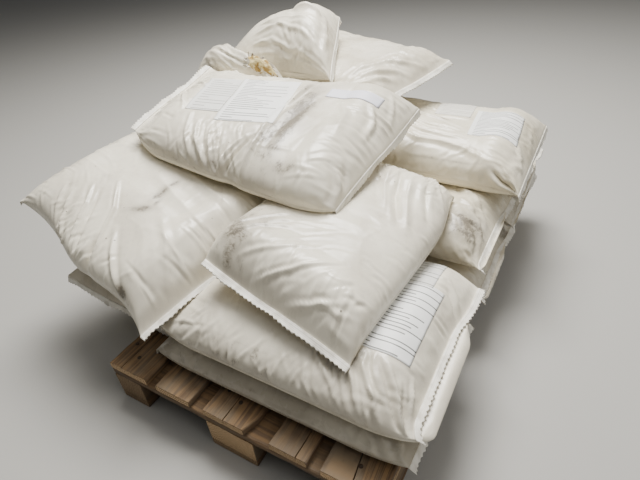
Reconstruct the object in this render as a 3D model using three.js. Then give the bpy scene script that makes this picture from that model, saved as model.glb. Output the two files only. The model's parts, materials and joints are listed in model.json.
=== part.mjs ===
// Pallet of sacks: a four-way timber pallet with a loose pile of filled film sacks.
// Millimetres, +Z up. X runs along the 800 mm front edge, Y along the 1200 mm side.
// The origin is the centre of the pallet's underside.

import * as THREE from 'three';

// Pallet: three bottom boards, nine blocks, three cross boards and five deck boards
const PALLET_X = 800;
const PALLET_Y = 1200;
const BOARD_T = 22;
const BLOCK_H = 78;
const BLOCK_Y = 145;
const EDGE_BLOCK_X = 100;
const MID_BLOCK_X = 145;
const CROSS_BOARD_Y = 145;
const WOOD_GAP = 0.3;
const DECK_BOARDS = [
  { name: 'deck_board_1', from: 0, to: 138 },
  { name: 'deck_board_2', from: 169, to: 286 },
  { name: 'deck_board_3', from: 327.5, to: 478, broken: true },
  { name: 'deck_board_4', from: 522, to: 624 },
  { name: 'deck_board_5', from: 655, to: 800 },
];
const BREAK_X = 26;
const BREAK_Y = 120;
const CROSS_TOP = BOARD_T + BLOCK_H + BOARD_T;
const DECK_TOP = CROSS_TOP + BOARD_T;

// One sack: a flat-lying film bag with a weld seam across each end
const SACK_LENGTH = 715;
const SACK_WIDTH = 440;
const SACK_THICK = 110;
const SEAM_WIDTH = 22;
const FILM_HALF = 1.6;
const WAIST = [0.075, 0.075];
const END_RISE = 110;
const END_POWER = 0.75;
const SIDE_POWER = 2 / 2.7;
const MID_HEIGHT = 0.4;

// How a sack settles on what is beneath it
const REST_GAP = 0.35;
const BED_PULL = 0.04;
const SETTLE_PASSES = 80;
const CLEAR_ROUNDS = 18;
const CLEAR_LIMIT = 0.02;
const TOP_PASSES = 3;
const TOP_BLEND = 0.6;
const TOP_DIP = 0.25;

// The rings each sack is built on, and the raster that records what has been laid
const STATIONS = [0, 22, 48, 85, 135, 205, 285, 357.5];
const RING_STEPS = 9;
const CELL = 1;
const FIELD = { x0: -720, y0: -180, nx: 1850, ny: 1900 };

// The pile from the deck up, in the order it was laid, from the pallet's front left
// corner. A sack has a plan centre (at) and the direction of its long axis in degrees
// (turn), or its four plan corners: left front, right front, right back, left back.
// bed: heights of its underside at those corners where nothing holds it higher;
// waist: how far its front and back sides draw in as it fills, as a share of half width;
// lie: how far its left and right seams drop from mid height to the bed;
// share: how much of its thickness it keeps towards its left and right ends.
const SACKS = {
  sack_base_front: { at: [480, 292], turn: 0, length: 725, waist: [-0.05, -0.05], bed: [144, 144, 144, 144], thick: 96 },
  sack_base_middle: { at: [492, 800], turn: 0, width: 385, bed: [144, 144, 144, 144], thick: 102 },
  sack_base_back: { at: [492, 1195], turn: 0, width: 395, bed: [144, 144, 144, 144], thick: 103 },
  sack_base_left: { at: [-90, 490], turn: 90, width: 410, bed: [118, 118, 232, 232], thick: 116 },
  sack_second_front: { at: [492, 326], turn: 0, width: 455, waist: [-0.1, -0.1], bed: [205, 190, 235, 235], thick: 106 },
  sack_second_middle: { at: [472, 822], turn: 0, width: 400, bed: [235, 235, 235, 235], thick: 107 },
  sack_second_back: { at: [494, 1218], turn: 0, width: 380, bed: [235, 235, 235, 235], thick: 108 },
  sack_third_right: { at: [510, 1082], turn: 0, length: 690, bed: [345, 330, 385, 390], thick: 142 },
  sack_third_left: { at: [-50, 990], turn: 90, length: 600, width: 400, bed: [330, 330, 340, 340], thick: 105 },
  sack_left: {
    corners: [[-450, 178], [162, 28], [312, 500], [-346, 606]],
    bed: [405, 205, 365, 515],
    thick: 115,
    lie: [0, 0.5],
  },
  sack_front: {
    corners: [[662, 125], [728, 792], [282, 850], [226, 203]],
    bed: [285, 330, 385, 425],
    thick: 112,
    waist: [0, 0],
    lie: [0.6, 0],
  },
  sack_fourth_back: { at: [-60, 1150], turn: 0, length: 640, width: 380, bed: [430, 430, 450, 450], thick: 100 },
  sack_back_right: { at: [96, 1200], turn: -20, width: 450, bed: [545, 480, 590, 580], thick: 105 },
  sack_back_top: {
    corners: [[-320, 1030], [210, 945], [75, 1280], [-330, 1190]],
    bed: [505, 525, 724, 540],
    thick: 156,
    share: [0.5, 1],
  },
  sack_torn: {
    corners: [[-345, 885], [78, 903], [50, 964], [-362, 1018]],
    bed: [560, 480, 480, 580],
    thick: 215,
  },
  sack_top: {
    corners: [[-232, 474], [474, 456], [508, 962], [-262, 880]],
    bed: [500, 392, 518, 592],
    thick: 122,
    waist: [-0.15, 0.03],
    lie: [-0.6, 0],
  },
};

const pallet = new THREE.Group();
const load = new THREE.Group();
const group = new THREE.Group();
pallet.position.set(-PALLET_X / 2, -PALLET_Y / 2, 0);
load.position.copy(pallet.position);
group.add(pallet, load);

// Adds one named piece with a material of its own
function addPiece(parent, name, geometry, look) {
  const mesh = new THREE.Mesh(geometry, new THREE.MeshStandardMaterial(look));
  mesh.name = name;
  parent.add(mesh);
  return mesh;
}

const TIMBER = { color: 0x8a6a48, roughness: 0.85, metalness: 0 };
const FILM = { color: 0xd9d7d0, roughness: 0.42, metalness: 0 };

// A sawn board or block between two corners
function timberPiece(name, x0, x1, y0, y1, z0, z1) {
  const mesh = addPiece(pallet, name, new THREE.BoxGeometry(x1 - x0, y1 - y0, z1 - z0), TIMBER);
  mesh.position.set((x0 + x1) / 2, (y0 + y1) / 2, (z0 + z1) / 2);
}

// A deck board with its front right corner broken away
function brokenBoard(name, x0, x1, z0, z1) {
  const outline = new THREE.Shape();
  outline.moveTo(x0, 0);
  outline.lineTo(x1 - BREAK_X, 0);
  outline.lineTo(x1 - BREAK_X * 0.45, BREAK_Y * 0.35);
  outline.lineTo(x1, BREAK_Y);
  outline.lineTo(x1, PALLET_Y);
  outline.lineTo(x0, PALLET_Y);
  outline.closePath();
  const geometry = new THREE.ExtrudeGeometry(outline, { depth: z1 - z0, bevelEnabled: false });
  addPiece(pallet, name, geometry, TIMBER).position.set(0, 0, z0);
}

function buildPallet() {
  const columns = {
    left: [0, EDGE_BLOCK_X],
    middle: [(PALLET_X - MID_BLOCK_X) / 2, (PALLET_X + MID_BLOCK_X) / 2],
    right: [PALLET_X - EDGE_BLOCK_X, PALLET_X],
  };
  const rows = { front: 0, centre: (PALLET_Y - BLOCK_Y) / 2, back: PALLET_Y - BLOCK_Y };
  const blockTop = BOARD_T + BLOCK_H;
  for (const [side, [x0, x1]] of Object.entries(columns)) {
    timberPiece(`bottom_board_${side}`, x0, x1, 0, PALLET_Y, 0, BOARD_T);
    for (const [row, y0] of Object.entries(rows)) {
      timberPiece(`block_${row}_${side}`, x0, x1, y0, y0 + BLOCK_Y, BOARD_T + WOOD_GAP, blockTop);
    }
  }
  for (const [row, y0] of Object.entries(rows)) {
    timberPiece(`cross_board_${row}`, 0, PALLET_X, y0, y0 + CROSS_BOARD_Y, blockTop + WOOD_GAP, CROSS_TOP);
  }
  for (const { name, from, to, broken } of DECK_BOARDS) {
    if (broken) brokenBoard(name, from, to, CROSS_TOP + WOOD_GAP, DECK_TOP);
    else timberPiece(name, from, to, 0, PALLET_Y, CROSS_TOP + WOOD_GAP, DECK_TOP);
  }
}

// Height of whatever has been laid so far, at each raster point
const field = new Float64Array(FIELD.nx * FIELD.ny).fill(-Infinity);
const column = (x) => (x - FIELD.x0) / CELL;
const line = (y) => (y - FIELD.y0) / CELL;
const groundAt = (x, y) => field[Math.round(line(y)) * FIELD.nx + Math.round(column(x))];

// Calls visit(index, z) for each raster point under the triangle a, b, c
function rasterise([a, b, c], visit) {
  const area = (b[0] - a[0]) * (c[1] - a[1]) - (b[1] - a[1]) * (c[0] - a[0]);
  if (Math.abs(area) < 1e-9) return;
  const i0 = Math.ceil(column(Math.min(a[0], b[0], c[0])));
  const i1 = Math.floor(column(Math.max(a[0], b[0], c[0])));
  const j0 = Math.ceil(line(Math.min(a[1], b[1], c[1])));
  const j1 = Math.floor(line(Math.max(a[1], b[1], c[1])));
  for (let j = j0; j <= j1; j += 1) {
    for (let i = i0; i <= i1; i += 1) {
      const x = FIELD.x0 + i * CELL;
      const y = FIELD.y0 + j * CELL;
      const u = ((b[0] - x) * (c[1] - y) - (b[1] - y) * (c[0] - x)) / area;
      const v = ((c[0] - x) * (a[1] - y) - (c[1] - y) * (a[0] - x)) / area;
      const w = 1 - u - v;
      if (u >= -1e-9 && v >= -1e-9 && w >= -1e-9) visit(j * FIELD.nx + i, u * a[2] + v * b[2] + w * c[2]);
    }
  }
}

// Records a surface height at a raster point and its neighbours, so that no edge that
// lies between two points is missed
function markField(index, z) {
  for (const step of [0, -1, 1, -FIELD.nx, FIELD.nx]) {
    field[index + step] = Math.max(field[index + step], z);
  }
}

const distance = (a, b) => Math.hypot(a[0] - b[0], a[1] - b[1]);
const clamp = (value, top) => Math.max(0, Math.min(top, value));

// Blends four corner values: left front, right front, right back, left back
const blend = ([lf, rf, rb, lb], p, q) => (lf * (1 - p) + rf * p) * (1 - q) + (lb * (1 - p) + rb * p) * q;

// Plan corners of a sack given by its centre, direction and size
function rectangle({ at, turn, length = SACK_LENGTH, width = SACK_WIDTH }) {
  const angle = THREE.MathUtils.degToRad(turn);
  const [cos, sin] = [Math.cos(angle), Math.sin(angle)];
  return [[-1, -1], [1, -1], [1, 1], [-1, 1]].map(([s, t]) => {
    const along = s * length / 2;
    const across = t * width / 2;
    return [at[0] + along * cos - across * sin, at[1] + along * sin + across * cos];
  });
}

// Distances along a sack of its mesh rings, seams kept at their real width
function stationsOf(length) {
  const body = (length / 2 - SEAM_WIDTH) / (SACK_LENGTH / 2 - SEAM_WIDTH);
  const left = STATIONS.map((d) => (d <= SEAM_WIDTH ? d : SEAM_WIDTH + (d - SEAM_WIDTH) * body));
  const right = left.slice(0, -1).reverse().map((d) => length - d);
  return [...left, ...right];
}

// The sack's grid: plan position, free height of its bed, and how far its lower and
// upper film stand above the bed at each point
function sackGrid({ corners, bed, thick = SACK_THICK, waist = WAIST, lie = [0, 0], share = [1, 1] }) {
  const length = (distance(corners[0], corners[1]) + distance(corners[3], corners[2])) / 2;
  return stationsOf(length).map((d) => {
    const p = d / length;
    const rise = clamp((Math.min(d, length - d) - SEAM_WIDTH) / END_RISE, 1);
    const full = Math.sin(rise * Math.PI / 2) ** END_POWER;
    const drop = (p < 0.5 ? lie[0] : lie[1]) * (1 - full);
    return Array.from({ length: RING_STEPS + 1 }, (_, k) => {
      const angle = (k / RING_STEPS - 0.5) * Math.PI;
      const reach = 1 - (angle < 0 ? waist[0] : waist[1]) * full;
      const t = Math.sign(angle) * Math.abs(Math.sin(angle)) ** SIDE_POWER;
      const swell = Math.abs(Math.cos(angle)) ** SIDE_POWER;
      const q = (t * reach + 1) / 2;
      const [x, y] = [0, 1].map((axis) => blend(corners.map((corner) => corner[axis]), p, q));
      const middle = thick * MID_HEIGHT * (1 - drop);
      const height = thick * (share[0] + (share[1] - share[0]) * Math.sin(p * Math.PI / 2));
      const slack = 1 - full * swell;
      return {
        x,
        y,
        flat: blend(bed, p, q),
        below: (middle - FILM_HALF) * slack,
        above: middle + (height - middle) * full * swell + FILM_HALF * slack,
      };
    });
  });
}

// The two triangles of a grid cell, as ring and step numbers
const cellTriangles = (i, k) => [
  [[i, k], [i + 1, k], [i + 1, k + 1]],
  [[i, k], [i + 1, k + 1], [i, k + 1]],
];

// The mean of a grid value's four neighbours, repeated at the borders
function neighbourMean(values, i, k) {
  const [rowEnd, stepEnd] = [values.length - 1, values[0].length - 1];
  const at = (r, s) => values[clamp(r, rowEnd)][clamp(s, stepEnd)];
  return (at(i - 1, k) + at(i + 1, k) + at(i, k - 1) + at(i, k + 1)) / 4;
}

// How far a lower film triangle stands above what is beneath it, less the rest gap
function spareUnder(corners) {
  let spare = Infinity;
  rasterise(corners, (index, height) => { spare = Math.min(spare, height - field[index] - REST_GAP); });
  return spare;
}

// Lets the sack's bed sag to its free heights but never into what is beneath it
function settleBed(grid) {
  const need = grid.map((row) => row.map((n) => groundAt(n.x, n.y) + REST_GAP - n.below));
  let z = grid.map((row, i) => row.map((n, k) => Math.max(n.flat, need[i][k])));
  for (let pass = 0; pass < SETTLE_PASSES; pass += 1) {
    z = grid.map((row, i) => row.map((n, k) => (
      Math.max(need[i][k], (neighbourMean(z, i, k) + BED_PULL * n.flat) / (1 + BED_PULL)))));
  }
  let spare = 0;
  for (let round = 0; round < CLEAR_ROUNDS; round += 1) {
    const lift = z.map((row) => row.map(() => 0));
    spare = Infinity;
    for (let i = 0; i + 1 < z.length; i += 1) {
      for (let k = 0; k < RING_STEPS; k += 1) {
        for (const triangle of cellTriangles(i, k)) {
          const room = spareUnder(triangle.map(([r, s]) => [grid[r][s].x, grid[r][s].y, z[r][s] + grid[r][s].below]));
          spare = Math.min(spare, room);
          for (const [r, s] of triangle) lift[r][s] = Math.max(lift[r][s], -room);
        }
      }
    }
    z = z.map((row, i) => row.map((height, k) => height + lift[i][k]));
    if (spare > -CLEAR_LIMIT) break;
  }
  return z.map((row) => row.map((height) => height - Math.max(0, spare)));
}

// The upper side follows a smoothed copy of the bed, as the fill levels itself
function levelTop(grid, bedZ, thick) {
  let top = bedZ;
  for (let pass = 0; pass < TOP_PASSES; pass += 1) {
    const last = top;
    top = last.map((row, i) => row.map((z, k) => z + TOP_BLEND * (neighbourMean(last, i, k) - z)));
  }
  return grid.map((row, i) => row.map((n, k) => {
    const film = bedZ[i][k] + n.below + 2 * FILM_HALF;
    return Math.max(film, Math.max(top[i][k], bedZ[i][k] - TOP_DIP * thick) + n.above);
  }));
}

// Ring and step numbers around the grid's border
function borderOf(rowEnd, stepEnd) {
  const border = [];
  for (let i = 0; i < rowEnd; i += 1) border.push([i, 0]);
  for (let k = 0; k < stepEnd; k += 1) border.push([rowEnd, k]);
  for (let i = rowEnd; i > 0; i -= 1) border.push([i, stepEnd]);
  for (let k = stepEnd; k > 0; k -= 1) border.push([0, k]);
  return border;
}

// Lays one sack on what is beneath it and adds it as a closed mesh
function laySack(name, sack) {
  const grid = sackGrid({ ...sack, corners: sack.corners ?? rectangle(sack) });
  const bedZ = settleBed(grid);
  const topZ = levelTop(grid, bedZ, sack.thick ?? SACK_THICK);
  const lower = grid.map((row, i) => row.map((n, k) => [n.x, n.y, bedZ[i][k] + n.below]));
  const upper = grid.map((row, i) => row.map((n, k) => [n.x, n.y, topZ[i][k]]));

  const steps = RING_STEPS + 1;
  const lowerId = ([i, k]) => i * steps + k;
  const upperId = ([i, k]) => (grid.length + i) * steps + k;
  const faces = [];
  for (let i = 0; i + 1 < grid.length; i += 1) {
    for (let k = 0; k < RING_STEPS; k += 1) {
      for (const triangle of cellTriangles(i, k)) {
        faces.push(...triangle.map(lowerId).reverse(), ...triangle.map(upperId));
        rasterise(triangle.map(([r, s]) => upper[r][s]), markField);
      }
    }
  }
  const border = borderOf(grid.length - 1, RING_STEPS);
  border.forEach((here, n) => {
    const next = border[(n + 1) % border.length];
    faces.push(lowerId(here), lowerId(next), upperId(next));
    faces.push(lowerId(here), upperId(next), upperId(here));
  });

  const geometry = new THREE.BufferGeometry();
  geometry.setAttribute('position', new THREE.Float32BufferAttribute([lower, upper].flat(3), 3));
  geometry.setIndex(faces);
  addPiece(load, name, geometry, FILM);
}

function buildLoad() {
  field.forEach((_, index) => {
    const x = FIELD.x0 + (index % FIELD.nx) * CELL;
    const y = FIELD.y0 + Math.floor(index / FIELD.nx) * CELL;
    if (x >= 0 && x <= PALLET_X && y >= 0 && y <= PALLET_Y) field[index] = DECK_TOP;
  });
  for (const [name, sack] of Object.entries(SACKS)) laySack(name, sack);
}

buildPallet();
buildLoad();

export default group;
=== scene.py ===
"""The looks of a timber pallet with a loose pile of filled film sacks.

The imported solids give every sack's place and bulk. Each sack is rebuilt here as a smooth
bag through its solid's own grid, settled with a cloth simulation, and then given its folds,
crimped end seams, blank labels and soiling. The pallet's boards and blocks are sawn again
with worn edges, splits and nail heads. Lengths in the tables are in millimetres; Blender
objects are in metres.
"""
from __future__ import annotations

import json
import logging
import math
from collections.abc import Callable
from dataclasses import dataclass
from enum import Enum
from functools import partial

import bmesh
import bpy
import numpy as np
from bpy.types import Material, Mesh, Node, NodeSocket, NodeTree, Object
from mathutils import Matrix, Vector
from mathutils.bvhtree import BVHTree

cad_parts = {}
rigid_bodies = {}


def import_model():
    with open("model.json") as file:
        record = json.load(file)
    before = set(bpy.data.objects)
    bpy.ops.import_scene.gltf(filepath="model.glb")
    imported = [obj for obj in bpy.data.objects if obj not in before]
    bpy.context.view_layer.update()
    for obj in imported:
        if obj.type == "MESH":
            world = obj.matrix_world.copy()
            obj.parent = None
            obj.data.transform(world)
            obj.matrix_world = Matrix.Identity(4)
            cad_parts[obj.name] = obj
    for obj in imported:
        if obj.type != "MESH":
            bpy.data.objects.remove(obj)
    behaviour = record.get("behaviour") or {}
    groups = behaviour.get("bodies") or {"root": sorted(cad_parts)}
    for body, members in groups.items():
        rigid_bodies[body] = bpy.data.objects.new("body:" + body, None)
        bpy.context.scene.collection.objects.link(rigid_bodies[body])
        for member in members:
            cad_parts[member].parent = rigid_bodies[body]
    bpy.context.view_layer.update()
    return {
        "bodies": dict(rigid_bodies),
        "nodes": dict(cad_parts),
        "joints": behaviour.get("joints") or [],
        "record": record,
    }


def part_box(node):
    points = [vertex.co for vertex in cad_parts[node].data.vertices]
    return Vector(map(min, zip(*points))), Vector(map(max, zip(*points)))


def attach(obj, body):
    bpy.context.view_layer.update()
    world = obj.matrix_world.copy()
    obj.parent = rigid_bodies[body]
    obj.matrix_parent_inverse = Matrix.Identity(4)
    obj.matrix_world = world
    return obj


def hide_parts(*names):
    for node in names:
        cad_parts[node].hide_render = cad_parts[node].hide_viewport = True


LOG = logging.getLogger("scene")
Array = np.ndarray
MM = 0.001
UP = np.array([0, 0, 1.0])
SMOOTH = {"interpolation_type": "SMOOTHSTEP"}


@dataclass(frozen=True)
class BagForm:
    """The rule by which every bag's solid is laid out, which its skin follows.

    Attributes:
        origin: The pallet's centre in the plans of the sacks.
        seam: Width of an end seam.
        film_half: Half the thickness of two films pressed together.
        end_rise: Distance from the seam over which the bag reaches its full thickness.
        end_power: How steeply it rises there.
        side_power: How round its sides are.
        rim: Height of its rim, as a share of its thickness.
        stations: Distances from the end of the solid's rows of points.
        full_length: Length that these stations are meant for.
        ring_steps: Steps across the solid.
    """

    origin: tuple[float, float] = (400.0, 600.0)
    seam: float = 22.0
    film_half: float = 1.6
    end_rise: float = 110.0
    end_power: float = 0.75
    side_power: float = 2 / 2.7
    rim: float = 0.4
    stations: tuple[float, ...] = (0, 22, 48, 85, 135, 205, 285, 357.5)
    full_length: float = 715.0
    ring_steps: int = 9


@dataclass(frozen=True)
class SkinRule:
    """How the fine skins are laid out.

    Attributes:
        hidden_step: Spacing of the points of a hidden sack.
        clip: How much of each end of the film ends inside its seam strip.
        room_seen: How far off a neighbour is looked for.
        clearance: Gap that the film keeps from a neighbour.
        facet: Size of the flat facets between soft creases.
        label_grip: Share of the creases that a label's paper holds flat.
        label_step: Spacing of a label's points.
        soil_and_shade_edge: How fast a smudge, or a patch of painted shade, fades at its edge.
    """

    hidden_step: float = 13.0
    clip: float = 9.0
    room_seen: float = 40.0
    clearance: float = 1.0
    facet: float = 95.0
    label_grip: float = 0.78
    label_step: float = 5.0
    soil_and_shade_edge: float = 1.75


@dataclass(frozen=True)
class SeamStrip:
    """The crimped strip welded across each end.

    Attributes:
        step: Spacing of its points along the seam.
        tooth_pitch: Distance between the teeth of the zigzag cut.
        tooth_depth: Depth of a tooth.
        half: Half its thickness.
        depths: Distances from the bag's end of its rows of points.
        lift: How far each row stands off the film.
        tail: How far its last two rows reach past the film.
    """

    step: float = 2.5
    tooth_pitch: float = 12.0
    tooth_depth: float = 5.5
    half: float = 0.9
    depths: tuple[float, ...] = (20.0, 18.0, 16.0, 13.0, 9.0, 5.0, 3.0, 0.0)
    lift: tuple[float, ...] = (0.2, 1.2, 1.7, 1.1, 1.1, 1.1, 1.1, 1.1)
    tail: tuple[float, float] = (1.5, 6.0)


@dataclass(frozen=True)
class ClothRun:
    """The short cloth simulation that settles the film.

    Attributes:
        step: Spacing of the simulated film's points.
        frames: Length of the run.
        cap: Farthest that it moves the film.
        settings: The cloth's own settings.
    """

    step: float = 13.0
    frames: int = 16
    cap: float = 6.0
    settings: tuple[tuple[str, float], ...] = (
        ("quality", 4), ("mass", 0.25), ("tension_stiffness", 12), ("compression_stiffness", 12),
        ("shear_stiffness", 4), ("bending_stiffness", 0.4), ("use_pressure", True),
        ("uniform_pressure_force", 1.5), ("shrink_min", -0.03))


BAG, SKIN, STRIP, CLOTH = BagForm(), SkinRule(), SeamStrip(), ClothRun()


def rgb(hex_colour: str) -> tuple[float, float, float, float]:
    """Turns an sRGB hex colour into linear RGBA.

    Args:
        hex_colour: Six hex digits, with or without a leading hash sign.

    Returns:
        The linear colour with alpha 1.
    """
    text = hex_colour.lstrip("#")
    parts = [int(text[i:i + 2], 16) / 255 for i in (0, 2, 4)]
    linear = [c / 12.92 if c <= 0.04045 else ((c + 0.055) / 1.055) ** 2.4 for c in parts]
    return (*linear, 1.0)


def smoothstep(low: float, high: float, x: Array) -> Array:
    """Returns the usual smooth ramp from 0 at low to 1 at high."""
    t = np.clip((x - low) / (high - low), 0, 1)
    return t * t * (3 - 2 * t)


def turned(x: Array, y: Array, degrees: float) -> tuple[Array, Array]:
    """Returns x and y in axes that are turned anticlockwise by some degrees."""
    cos, sin = math.cos(math.radians(degrees)), math.sin(math.radians(degrees))
    return x * cos + y * sin, y * cos - x * sin


def hermite(knots: Array, values: Array, at: Array) -> Array:
    """Interpolates rows of values with a cubic through each knot.

    Args:
        knots: Increasing places of the rows.
        values: One row for each knot.
        at: Places to read.

    Returns:
        One row for each place.
    """
    slope = np.gradient(values, knots, axis=0)
    cell = np.clip(np.searchsorted(knots, at, side="right") - 1, 0, len(knots) - 2)
    span = (knots[cell + 1] - knots[cell])[:, None]
    t = ((at - knots[cell])[:, None]) / span
    h00, h10 = 2 * t**3 - 3 * t**2 + 1, t**3 - 2 * t**2 + t
    h01, h11 = -2 * t**3 + 3 * t**2, t**3 - t**2
    return (h00 * values[cell] + h10 * span * slope[cell]
            + h01 * values[cell + 1] + h11 * span * slope[cell + 1])


def upsample(coarse: Array, rows: int, cols: int) -> Array:
    """Reads a coarse grid of vectors on a finer grid with the same borders.

    Args:
        coarse: The coarse grid.
        rows: Rows of the finer grid.
        cols: Its columns.

    Returns:
        The finer grid.
    """
    a, b = coarse.shape[:2]
    flat = hermite(np.linspace(0, 1, a), coarse.reshape(a, -1), np.linspace(0, 1, rows))
    across = flat.reshape(rows, b, -1).transpose(1, 0, 2)
    out = hermite(np.linspace(0, 1, b), across.reshape(b, -1), np.linspace(0, 1, cols))
    return out.reshape(cols, rows, -1).transpose(1, 0, 2)


def soft_noise(x: Array, y: Array, size: float, rng: np.random.Generator) -> Array:
    """Sums a few long waves into a smooth field of about -1 to 1.

    Args:
        x: First coordinate in mm.
        y: Second coordinate in mm.
        size: Typical wavelength in mm.
        rng: Source of the directions and phases.

    Returns:
        The field at each point.
    """
    waves, level = 7, 3.2
    total = np.zeros_like(x)
    for _ in range(waves):
        turn, phase = rng.uniform(0, 2 * math.pi, 2)
        wave = size * rng.uniform(0.7, 1.6)
        total += np.sin((x * math.cos(turn) + y * math.sin(turn)) * 2 * math.pi / wave + phase)
    return total / level


def add_node(tree: NodeTree, kind: str, inputs: dict | None = None, **settings) -> Node:
    """Adds a node with its settings and its input values or links.

    Args:
        tree: The node tree.
        kind: The node's type name; ShaderNode may be left out of it.
        inputs: For each input name or number a value, an output socket, or a node that
            stands for its first output.
        **settings: Properties of the node itself.

    Returns:
        The new node.
    """
    node = tree.nodes.new(kind if "Node" in kind else "ShaderNode" + kind)
    for key, value in settings.items():
        setattr(node, key, value)
    for key, value in (inputs or {}).items():
        value = value.outputs[0] if isinstance(value, Node) else value
        if isinstance(value, NodeSocket):
            tree.links.new(value, node.inputs[key])
        else:
            node.inputs[key].default_value = value
    return node


def empty_material(name: str) -> tuple[Material, Callable[..., Node]]:
    """Makes a material without nodes.

    Args:
        name: The material's name.

    Returns:
        The material, and add_node for its own tree.
    """
    material = bpy.data.materials.new(name)
    material.use_nodes = True
    material.node_tree.nodes.clear()
    return material, partial(add_node, material.node_tree)


def lay_colours(add: Callable[..., Node], ground: str, layers: tuple) -> NodeSocket:
    """Lays colours over a ground, each where a pattern is strong.

    Args:
        add: Adds a node.
        ground: The ground's colour.
        layers: For each colour its pattern, where on it the colour starts and is full, its
            largest share, and the colour. Without a start, the pattern is the share itself.

    Returns:
        The mixed colour.
    """
    colour = rgb(ground)
    for pattern, low, high, most, over in layers:
        share = pattern
        if low is not None:
            share = add("MapRange", {0: pattern, 1: low, 2: high, 4: most}, **SMOOTH)
        mix = add("Mix", {0: share, 6: colour, 7: rgb(over)}, data_type="RGBA")
        colour = mix.outputs[2]
    return colour


def close_surface(add: Callable[..., Node], colour: NodeSocket | tuple, rough: Node | float,
                  bumps: tuple = (), more: dict | None = None) -> None:
    """Ends a material with a Principled shader.

    Args:
        add: Adds a node.
        colour: Base colour.
        rough: Roughness.
        bumps: Height, strength and depth in metres of each bump, from the coarsest.
        more: The shader's other inputs.
    """
    inputs = {"Base Color": colour, "Roughness": rough, **(more or {})}
    for height, strength, depth in bumps:
        below = {"Normal": inputs["Normal"]} if "Normal" in inputs else {}
        inputs["Normal"] = add("Bump", {"Height": height, "Strength": strength, "Distance": depth, **below})
    shader = add("BsdfPrincipled", inputs)
    add("OutputMaterial", {"Surface": shader})


def wave_scale(pitch_mm: float) -> float:
    """Returns the wave texture's scale for one band every pitch_mm, on metres."""
    return 100 * math.pi / pitch_mm


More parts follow.
